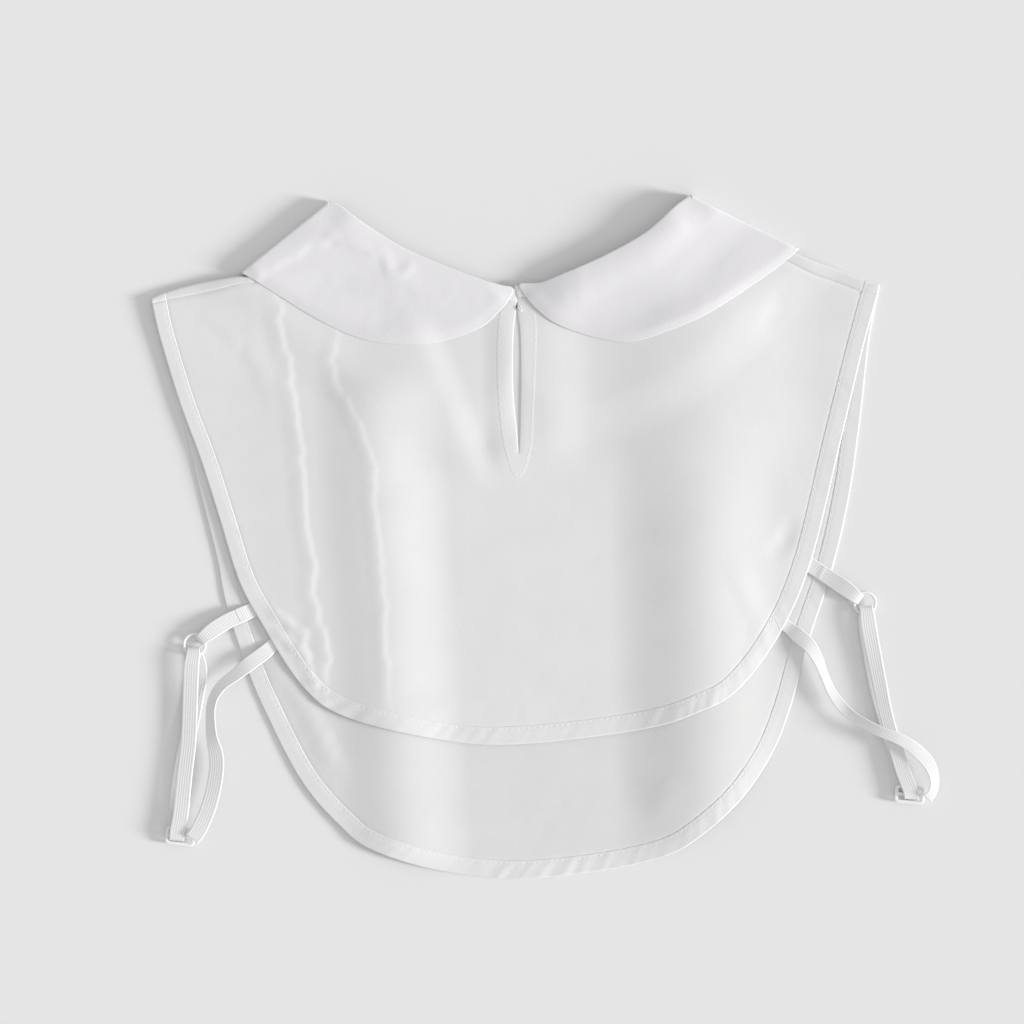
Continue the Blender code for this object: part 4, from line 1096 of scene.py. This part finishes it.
def binding(name, node, edges, base, lines, shoulder_ends, seed):
    """A bias strip along an edge, rounded at both sides, with a groove for its stitches."""
    outer, inner = edges
    spots = BINDING_SPOTS
    grid = inner[:, None, :] + (outer - inner)[:, None, :] * spots[None, :, None]
    flat = grid.reshape(-1, 2)
    heights = base(flat) + BINDING_LIFT + creases(flat, lines)
    rows = list(np.column_stack([flat, heights]).reshape(len(outer), len(spots), 3))
    for side, at_start in (("left", True), ("right", False)):
        starts, seam, away = shoulder_rows(side, BINDING_AT_SHOULDER * (1.0 - spots))
        if shoulder_ends:
            extra = roll_rows(starts, seam, away, BINDING_LIFT, PANEL_ROLL - BINDING_LIFT)
        else:
            place = seam + away * SEAM_LAP
            extra = [np.column_stack([place, back_base(place) + BINDING_LIFT - SEAM_DIP])]
            end = rows[0] if at_start else rows[-1]
            end[:, 2] -= 0.3 * SEAM_DIP
        rows = extra[::-1] + rows if at_start else rows + extra
    points = np.array(rows)
    middle = points[:, len(spots) // 2]
    from_inside = spots * BINDING_WIDTH
    groove = np.exp(-((from_inside - GROOVE_PLACE) / GROOVE_WIDTH) ** 2)
    slope = THIN_SIDE + (1.0 - THIN_SIDE) * ease(from_inside / THIN_SIDE_WIDTH)
    thick = BINDING_HALF * (slope - GROOVE_DEPTH * groove)[None, :]
    puckers = pucker(lengths(middle), spots, seed) * ease(from_inside / PUCKER_START)[None, :]
    thick = thick + PUCKER_HEIGHT * hem_weight(middle)[:, None] * puckers
    obj = shell(name, banded(rows), thick.reshape(-1), BINDING_RIM, TRIM, node)
    seam_line = points[:, STITCH_SPOT].copy()
    seam_line[:, 2] += 0.62 * BINDING_HALF
    return obj, stitches(f"{name}_stitches", seam_line)


def stitches(name, line, pitch=STITCH_PITCH, length=STITCH, skip=1.0):
    """Short round stitches along a line of points, with their ends sunk in the cloth."""
    along = lengths(line)
    starts = np.arange(skip, along[-1] - skip - length, pitch)
    turns = np.arange(STITCH_SIDES) * math.tau / STITCH_SIDES
    points, faces = [], []
    for start in starts:
        ends = [np.array([np.interp(s, along, line[:, k]) for k in range(3)])
                for s in (start, start + length)]
        axis = (ends[1] - ends[0]) / np.linalg.norm(ends[1] - ends[0])
        side = np.cross(axis, (0.0, 0.0, 1.0))
        side /= np.linalg.norm(side) + TINY
        up = np.cross(side, axis)
        first = len(points)
        for place, size, rise in STITCH_SHAPE:
            centre = ends[0] + (ends[1] - ends[0]) * place + up * rise * STITCH_RADIUS
            for turn in turns:
                arm = side * math.cos(turn) + up * math.sin(turn)
                points.append(centre + arm * size * STITCH_RADIUS)
        last = first + (len(STITCH_SHAPE) - 1) * STITCH_SIDES
        for section in range(first, last, STITCH_SIDES):
            for j in range(STITCH_SIDES):
                a, b = section + j, section + (j + 1) % STITCH_SIDES
                faces.append([a, b, b + STITCH_SIDES, a + STITCH_SIDES])
        faces.append([first + j for j in reversed(range(STITCH_SIDES))])
        faces.append([last + j for j in range(STITCH_SIDES)])
    obj = new_object(name, np.array(points), faces, THREAD)
    return obj


def front_pieces():
    outer, inner, under = panel_edges(FRONT_EDGE, FOLD)
    strip = binding("front_hem_binding", "front_binding", (outer, inner), front_base,
                    FRONT_CREASES, True, 1.3)
    shoulders = {side: past_binding(side) for side in SHOULDERS}
    under[0], under[-1] = shoulders["left"][0][0], shoulders["right"][0][0]
    neck = smooth(FRONT_NECK, EDGE_STEP)[1:-1]
    loop = np.vstack([under, shoulders["right"][0][1:], neck[::-1],
                      shoulders["left"][0][1:][::-1]])
    flat, faces = flat_mesh(loop, FRONT_FINE, PLAIN_RIMS)
    surface = Surface()
    heights = front_base(flat) + CLOTH / 2.0 + creases(flat, FRONT_CREASES) + slit_rise(flat)
    heights -= TUCK_DIP * (1.0 - ease(nearest(flat, under)[0] / HEM_SOFT))
    numbers = surface.add_flat(flat, faces, heights)
    edges = set(rim_edges(surface.faces))
    for side in SHOULDERS:
        starts, seam, away = shoulders[side]
        row = surface.find(numbers, starts)
        if (row[0], row[1]) not in edges:
            row.reverse()
            starts, seam, away = starts[::-1], seam[::-1], away[::-1]
        previous = row
        for ring in roll_rows(starts, seam, away, CLOTH / 2.0, PANEL_ROLL - CLOTH / 2.0):
            here = list(surface.add_points(ring))
            surface.add_band(previous, here)
            previous = here
    panel = shell("front_cloth", surface, SATIN_HALF, PANEL_RIM, FRONT, "front_panel")
    return panel, strip


def back_pieces():
    outer, inner, under = panel_edges(BACK_EDGE, SEAM)
    strip = binding("back_hem_binding", "back_binding", (outer, inner), back_base,
                    BACK_CREASES, False, 7.9)
    seams = {}
    for side in SHOULDERS:
        _, seam, away = past_binding(side)
        seams[side] = seam + away * SEAM_LAP
    under[0], under[-1] = seams["left"][0], seams["right"][0]
    neck = {}
    for side, rows in NECK_STRIPS.items():
        curve = smooth(rows, EDGE_STEP)
        middle = (curve[:, :2] + curve[:, 2:]) / 2.0
        neck[side] = middle[:-2]
    cut = offset(facing_outside(), 2.0)
    left_neck = neck["left"][neck["left"][:, 0] < cut[0, 0] - 0.8]
    right_neck = neck["right"][neck["right"][:, 0] > cut[-1, 0] + 0.8]
    loop = np.vstack([under, seams["right"][1:], right_neck[::-1], cut[::-1], left_neck,
                      seams["left"][1:][::-1]])
    flat, faces = flat_mesh(loop, BACK_FINE, PLAIN_RIMS)
    surface = Surface()
    to_seam = np.min([nearest(flat, seams[side])[0] for side in seams], axis=0)
    dip = SEAM_DIP * (1.0 - ease(to_seam / SEAM_SOFT))
    dip += TUCK_DIP * (1.0 - ease(nearest(flat, under)[0] / HEM_SOFT))
    heights = back_base(flat) + CLOTH / 2.0 + creases(flat, BACK_CREASES) - dip
    surface.add_flat(flat, faces, heights)
    panel = shell("back_cloth", surface, SATIN_HALF, PANEL_RIM, PANEL, "back_panel")
    return panel, strip


def facing_outside():
    """The facing's outer line, from its left top round the point to its right top."""
    rows = np.array(FACING)
    left = smooth(np.column_stack([rows[:, 1], rows[:, 0]]), EDGE_STEP)
    rows[0, 0] = FACING_TOP_RIGHT
    right = smooth(np.column_stack([rows[:, 4], rows[:, 0]]), EDGE_STEP)[::-1]
    point = smooth((left[-1], *FACING_POINT, right[0]), 0.8)[1:-1]
    return np.vstack([left, point, right])


def keyhole_facing():
    rows = np.array(FACING)
    slit_left = np.column_stack([rows[:, 2], rows[:, 0]])
    rows[0, 0] = FACING_TOP_RIGHT
    slit_right = np.column_stack([rows[:, 3], rows[:, 0]])
    slit = smooth(np.vstack([slit_left, SLIT_END, slit_right[::-1]]), SLIT_STEP)
    loop = np.vstack([facing_outside(), slit[::-1]])
    flat, faces = flat_mesh(loop, FACING_FINE, FINE_RIMS)
    surface = Surface()
    to_slit = nearest(flat, slit)[0]
    lower = SLIT_EDGE_DROP * (1.0 - ease(to_slit / SLIT_EDGE_WIDTH))
    surface.add_flat(flat, faces, back_base(flat) + FACING_LIFT - lower)
    seam = offset(facing_outside(), FACING_SEAM)
    seam = np.column_stack([seam, back_base(seam) + FACING_LIFT + 0.7 * FACING_HALF])
    strip = shell("keyhole_strip", surface, FACING_HALF, FACING_RIM, TRIM, "keyhole_facing")
    return strip, stitches("keyhole_stitches", seam[4:-4])


def neck_strip(side):
    curve = smooth(NECK_STRIPS[side], EDGE_STEP)
    spots = np.linspace(0.0, 1.0, 11)
    grid = curve[:, None, :2] + (curve[:, 2:] - curve[:, :2])[:, None, :] * spots[None, :, None]
    flat = grid.reshape(-1, 2)
    tuck = CROSS_DIP * ease((flat[:, 0] + 1.6) / 2.4) if side == "left" else 0.0
    heights = back_base(flat) + NECK_LIFT - tuck
    rows = np.column_stack([flat, heights]).reshape(len(curve), len(spots), 3)
    seam = rows[:, 2].copy()
    seam[:, 2] += NECK_SEAM_LIFT
    strip = shell(f"neck_strip_{side}", banded(rows), NECK_HALF, NECK_RIM, TRIM,
                  f"neck_binding_{side}")
    return strip, stitches(f"neck_stitches_{side}", seam)


def thread_loop():
    """A worked thread loop: two strands side by side across the top of the slit."""
    low, high = (np.array(p) for p in THREAD_LOOP[::-1])
    around, section = 40, 10
    along = (high - low) / np.linalg.norm(high - low)
    across = np.array([-along[1], along[0]])
    centre = (low + high) / 2.0
    half = np.linalg.norm(high - low) / 2.0
    points = []
    for i in range(around):
        turn = math.tau * i / around
        place = centre + along * half * math.cos(turn) + across * LOOP_WIDTH * math.sin(turn)
        z = back_base(place[None, :])[0] + LOOP_LIFT - LOOP_DIP * math.cos(turn) ** 4
        out = along * math.cos(turn) + across * math.sin(turn)
        for j in range(section):
            angle = math.tau * j / section
            reach = LOOP_RADIUS * math.cos(angle)
            points.append((*(place + out * reach), z + LOOP_RADIUS * math.sin(angle)))
    faces = tube_faces(around, section)
    obj = new_object("worked_thread_loop", np.array(points), faces, THREAD)
    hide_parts("thread_loop")
    return obj


def collar(side):
    """A collar half: its lower and upper layers, joined by the roll over the shoulder."""
    stations, reach = fold_stations(side, END_ROUND)
    surface = Surface()
    rows = {}
    for layer, base, over in (("lower", table, False), ("upper", upper_leaf_base, True)):
        loop = np.vstack([stations, leaf_outline(side, layer)])
        flat, faces = flat_mesh(loop, COLLAR_FINE, FINE_RIMS)
        heights = base(flat) + CLOTH / 2.0
        if over:
            neck, outer = COLLAR_EDGES[side]
            depth, width = EDGE_DROPS[side]
            heights += creases(flat, COLLAR_CREASES[side])
            to_neck, to_outer = nearest(flat, neck)[0], nearest(flat, outer)[0]
            to_peak, to_tip = (np.hypot(*(flat - neck[k]).T) for k in (0, -1))
            settled = np.maximum(ease(to_neck / SETTLE_WIDTH), 1.0 - ease(to_tip / TIP_SETTLE))
            heights -= SETTLES[side] * settled
            heights -= depth * (1.0 - ease(to_outer / width)) * ease(to_neck / NECK_CLEAR)
            heights -= PEAK_DROPS[side] * (1.0 - ease(to_peak / PEAK_WIDTH))
            heights -= RESTED * crown(flat) * (1.0 - ease(to_outer / OUTER_REST))
        numbers = surface.add_flat(flat, faces, heights, upside_down=over)
        rows[layer] = surface.find(numbers, stations)
    edges = set(rim_edges(surface.faces))
    low, high = rows["lower"], rows["upper"]
    if (low[0], low[1]) not in edges:
        low, high, stations, reach = low[::-1], high[::-1], stations[::-1], reach[::-1]
    bottoms, tops = surface.points[low][:, 2], surface.points[high][:, 2]
    middle, half = (bottoms + tops) / 2.0, (tops - bottoms) / 2.0
    outward = -np.outer(np.maximum(reach - CLOTH / 2.0, ROLL_END), fold_inward(side))
    previous = low
    for k in range(1, ROLL_STEPS):
        out, up = squared_arc(k, COLLAR_SQUARE)
        ring_points = np.column_stack([stations + outward * out, middle + half * up])
        here = list(surface.add_points(ring_points))
        surface.add_band(previous, here)
        previous = here
    surface.add_band(previous, high)
    to_edge = nearest(surface.points, COLLAR_EDGES[side][1])[0]
    half = COLLAR_HALF * (THIN_EDGE + (1.0 - THIN_EDGE) * ease(to_edge / THIN_WIDTH))
    return shell(f"collar_half_{side}", surface, half, COLLAR_RIM, LEAF, f"collar_{side}")


# Elastic, rings, sliders and thread

def ribbon(name, node, rows):
    """A knitted elastic ribbon swept along its centre line."""
    table_rows = np.array(rows)
    plan_width = np.cos(np.radians(table_rows[:, 4]))
    table_rows[:, 4] *= LEAN_SHOWN
    table_rows[:, 5] *= plan_width / np.cos(np.radians(table_rows[:, 4]))
    if node in SEWN_RIBBONS:
        end = table_rows[0].copy()
        step = end[:2] - table_rows[1, :2]
        end[:2] += step * TUCKED / np.linalg.norm(step)
        table_rows = np.vstack([end, table_rows])
        table_rows[:2, 2] = front_base(table_rows[:2, :2]) + TUCKED_HEIGHT
        table_rows[1, 2] += 0.15
    path = smooth(table_rows, RIBBON_STEP, axes=3, least=2)
    centre = path[:, :3]
    before = np.vstack([centre[:1], centre[:-1]])
    after = np.vstack([centre[1:], centre[-1:]])
    along = after - before
    along /= np.linalg.norm(along, axis=1)[:, None]
    across, lean = np.radians(path[:, 3]), np.radians(path[:, 4])
    side = np.stack([np.cos(across) * np.cos(lean), np.sin(across) * np.cos(lean), np.sin(lean)], 1)
    side -= along * np.sum(side * along, axis=1)[:, None]
    side /= np.linalg.norm(side, axis=1)[:, None]
    spots = np.concatenate([[-0.5, -0.48, -0.44], np.linspace(-0.39, 0.39, 22), [0.44, 0.48, 0.5]])
    grid = centre[:, None, :] + side[:, None, :] * (path[:, 5][:, None] * spots[None, :])[..., None]
    field = (np.abs(spots) < KNIT_FIELD).astype(float)
    knit = (np.sin(lengths(centre) * math.pi / KNIT_PITCH) ** 2)[:, None]
    knit = knit * (np.sin(spots * KNIT_WIDTH * math.pi / KNIT_PITCH) ** 2)[None, :]
    thick = RIBBON_HALF + SELVEDGE_RISE * (1.0 - field)[None, :] + KNIT_RISE * knit * field[None, :]
    return shell(name, banded(grid), thick.reshape(-1), RIBBON_RIM, ELASTIC, node)


def tack(name, ax, ay, bx, by, height):
    """A row of short stitches across a sewn end."""
    line = np.linspace((ax, ay), (bx, by), TACK_POINTS)
    lift = back_base(line) + BINDING_LIFT + BINDING_HALF if height == ON_BACK else height
    line = np.column_stack([line, np.broadcast_to(lift, TACK_POINTS)])
    return stitches(f"tack_{name}", line, TACK_PITCH, TACK_LENGTH, skip=0.1)


def ring(side):
    """A round plastic ring."""
    around, section = 72, 16
    cx, cy = RING_CENTRES[side]
    points = []
    for i in range(around):
        turn = math.tau * i / around
        for j in range(section):
            angle = math.tau * j / section
            reach = RING_RADIUS + RING_WIRE * math.cos(angle)
            points.append((cx + reach * math.cos(turn), cy + reach * math.sin(turn),
                           RING_HEIGHT + RING_WIRE * math.sin(angle)))
    faces = tube_faces(around, section)
    obj = new_object(f"round_ring_{side}", np.array(points), faces, PLASTIC)
    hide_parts(f"ring_{side}")


def rounded_rectangle(length, width, radius, steps, centre_y=0.0):
    """The points of a rectangle with round corners."""
    points = []
    for quarter, (sx, sy) in enumerate(((1, 1), (-1, 1), (-1, -1), (1, -1))):
        cx, cy = sx * (length / 2.0 - radius), sy * (width / 2.0 - radius)
        for k in range(steps + 1):
            angle = math.pi / 2.0 * (quarter + k / steps)
            points.append((cx + radius * math.cos(angle), centre_y + cy + radius * math.sin(angle)))
    return points


def slider(side):
    """A flat frame with a bar across its middle and rounded edges."""
    window = (SLIDER_WIDTH - 3.0 * SLIDER_BAR) / 2.0
    shift = (window + SLIDER_BAR) / 2.0
    loops = [rounded_rectangle(SLIDER_LENGTH, SLIDER_WIDTH, SLIDER_CORNER, 8)]
    inner_length = SLIDER_LENGTH - 2.0 * SLIDER_BAR
    loops += [rounded_rectangle(inner_length, window, SLIDER_WINDOW_CORNER, 3, s * shift)
              for s in (1, -1)]
    points, edges = [], []
    for loop in loops:
        first = len(points)
        points += [Vector(p) for p in loop]
        edges += [(first + k, first + (k + 1) % len(loop)) for k in range(len(loop))]
    found = delaunay_2d_cdt(points, edges, [], 0, 1e-4)
    flat = np.array([(v.x, v.y) for v in found[0]])
    faces = np.array([f for f in found[2] if len(f) == 3])
    centres = flat[faces].mean(axis=1)
    keep = inside(centres, np.array(loops[0]))
    for hole in loops[1:]:
        keep &= ~inside(centres, np.array(hole))
    faces = faces[keep]
    builder = bmesh.new()
    low = [builder.verts.new((x * MM, y * MM, 0.0)) for x, y in flat]
    high = [builder.verts.new((x * MM, y * MM, SLIDER_THICKNESS * MM)) for x, y in flat]
    sides = set()
    for a, b, c in faces:
        turn = np.cross(flat[b] - flat[a], flat[c] - flat[a])
        if turn < 0:
            b, c = c, b
        builder.faces.new((high[a], high[b], high[c]))
        builder.faces.new((low[c], low[b], low[a]))
        sides |= {(a, b), (b, c), (c, a)}
    for a, b in sides:
        if (b, a) not in sides:
            builder.faces.new((low[a], low[b], high[b], high[a]))
    bmesh.ops.dissolve_limit(builder, angle_limit=0.01, verts=builder.verts, edges=builder.edges)
    rim = [e for e in builder.edges if e.calc_face_angle(0.0) > 0.9]
    bmesh.ops.bevel(builder, geom=rim, offset=SLIDER_ROUND * MM, segments=3, profile=0.5,
                     affect="EDGES")
    bmesh.ops.triangulate(builder, faces=builder.faces)
    x, y, turn = SLIDERS[side]
    c, s = math.cos(math.radians(turn)), math.sin(math.radians(turn))
    for vert in builder.verts:
        px, py, pz = vert.co
        vert.co = (x * MM + c * px - s * py, y * MM + s * px + c * py, pz + SLIDER_BASE * MM)
    mesh = bpy.data.meshes.new(f"strap_slider_{side}")
    builder.to_mesh(mesh)
    builder.free()
    mesh.shade_smooth()
    mesh.set_sharp_from_angle(angle=math.radians(40.0))
    mesh.materials.append(PLASTIC)
    obj = add_to_scene(f"strap_slider_{side}", mesh)
    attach(obj, "root")
    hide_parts(f"slider_{side}")


# Make the pieces

front_cloth, front_trim = front_pieces()
back_cloth, back_trim = back_pieces()
back_trim += keyhole_facing() + neck_strip("left") + neck_strip("right") + (thread_loop(),)
collars = [collar(side) for side in COLLARS]
elastic = {node: ribbon(f"elastic_{node}", node, rows) for node, rows in RIBBONS.items()}
tacks = {name: tack(name, *row) for name, row in TACKS.items()}
for side_name in ("left", "right"):
    ring(side_name)
    slider(side_name)

# The straps and the tacks across the loose straps' sewn ends, gathered in one list.
straps = [elastic[node] for node in elastic if node.startswith("strap")]
straps += [tacks["loose_left"], tacks["loose_right"]]

# Stage, camera and light: sizes in metres, the sensor in millimetres, angles in degrees

SENSOR = 36.0
CAMERA_HEIGHT = 2.5
PICTURE_WIDTH = 0.512
SUN_HEIGHT = 16.0
SUN_SOFTNESS = 13.0
SUN_SIDE = -0.17

floor_mesh = bpy.data.meshes.new("floor")
floor_mesh.from_pydata([(-4, -4, 0), (4, -4, 0), (4, 4, 0), (-4, 4, 0)], [], [(0, 1, 2, 3)])
floor = add_to_scene("floor", floor_mesh)
floor_material, _, _ = new_material("floor_paper", {
    "Base Color": (0.80, 0.80, 0.80, 1.0), "Roughness": 0.9, "Specular IOR Level": 0.1})
floor_mesh.materials.append(floor_material)

camera_data = bpy.data.cameras.new("camera")
camera_data.sensor_width = SENSOR
camera_data.lens = SENSOR * CAMERA_HEIGHT / PICTURE_WIDTH
camera = add_to_scene("camera", camera_data)
camera.location = (-0.0015, 0.014, CAMERA_HEIGHT)
bpy.context.scene.camera = camera

sun_data = bpy.data.lights.new("window_light", "SUN")
sun_data.energy = 3.85
sun_data.angle = math.radians(SUN_SOFTNESS)
sun = add_to_scene("window_light", sun_data)
sun_height = math.radians(SUN_HEIGHT)
light_from = Vector((math.cos(sun_height), SUN_SIDE, math.sin(sun_height)))
sun.rotation_euler = light_from.to_track_quat("Z", "Y").to_euler()

world = bpy.data.worlds.new("soft_room")
world.use_nodes = True
set_inputs(world.node_tree.nodes["Background"], {"Color": (1.0, 1.0, 1.0, 1.0), "Strength": 0.646})
bpy.context.scene.world = world
bpy.context.scene.view_settings.view_transform = "Standard"
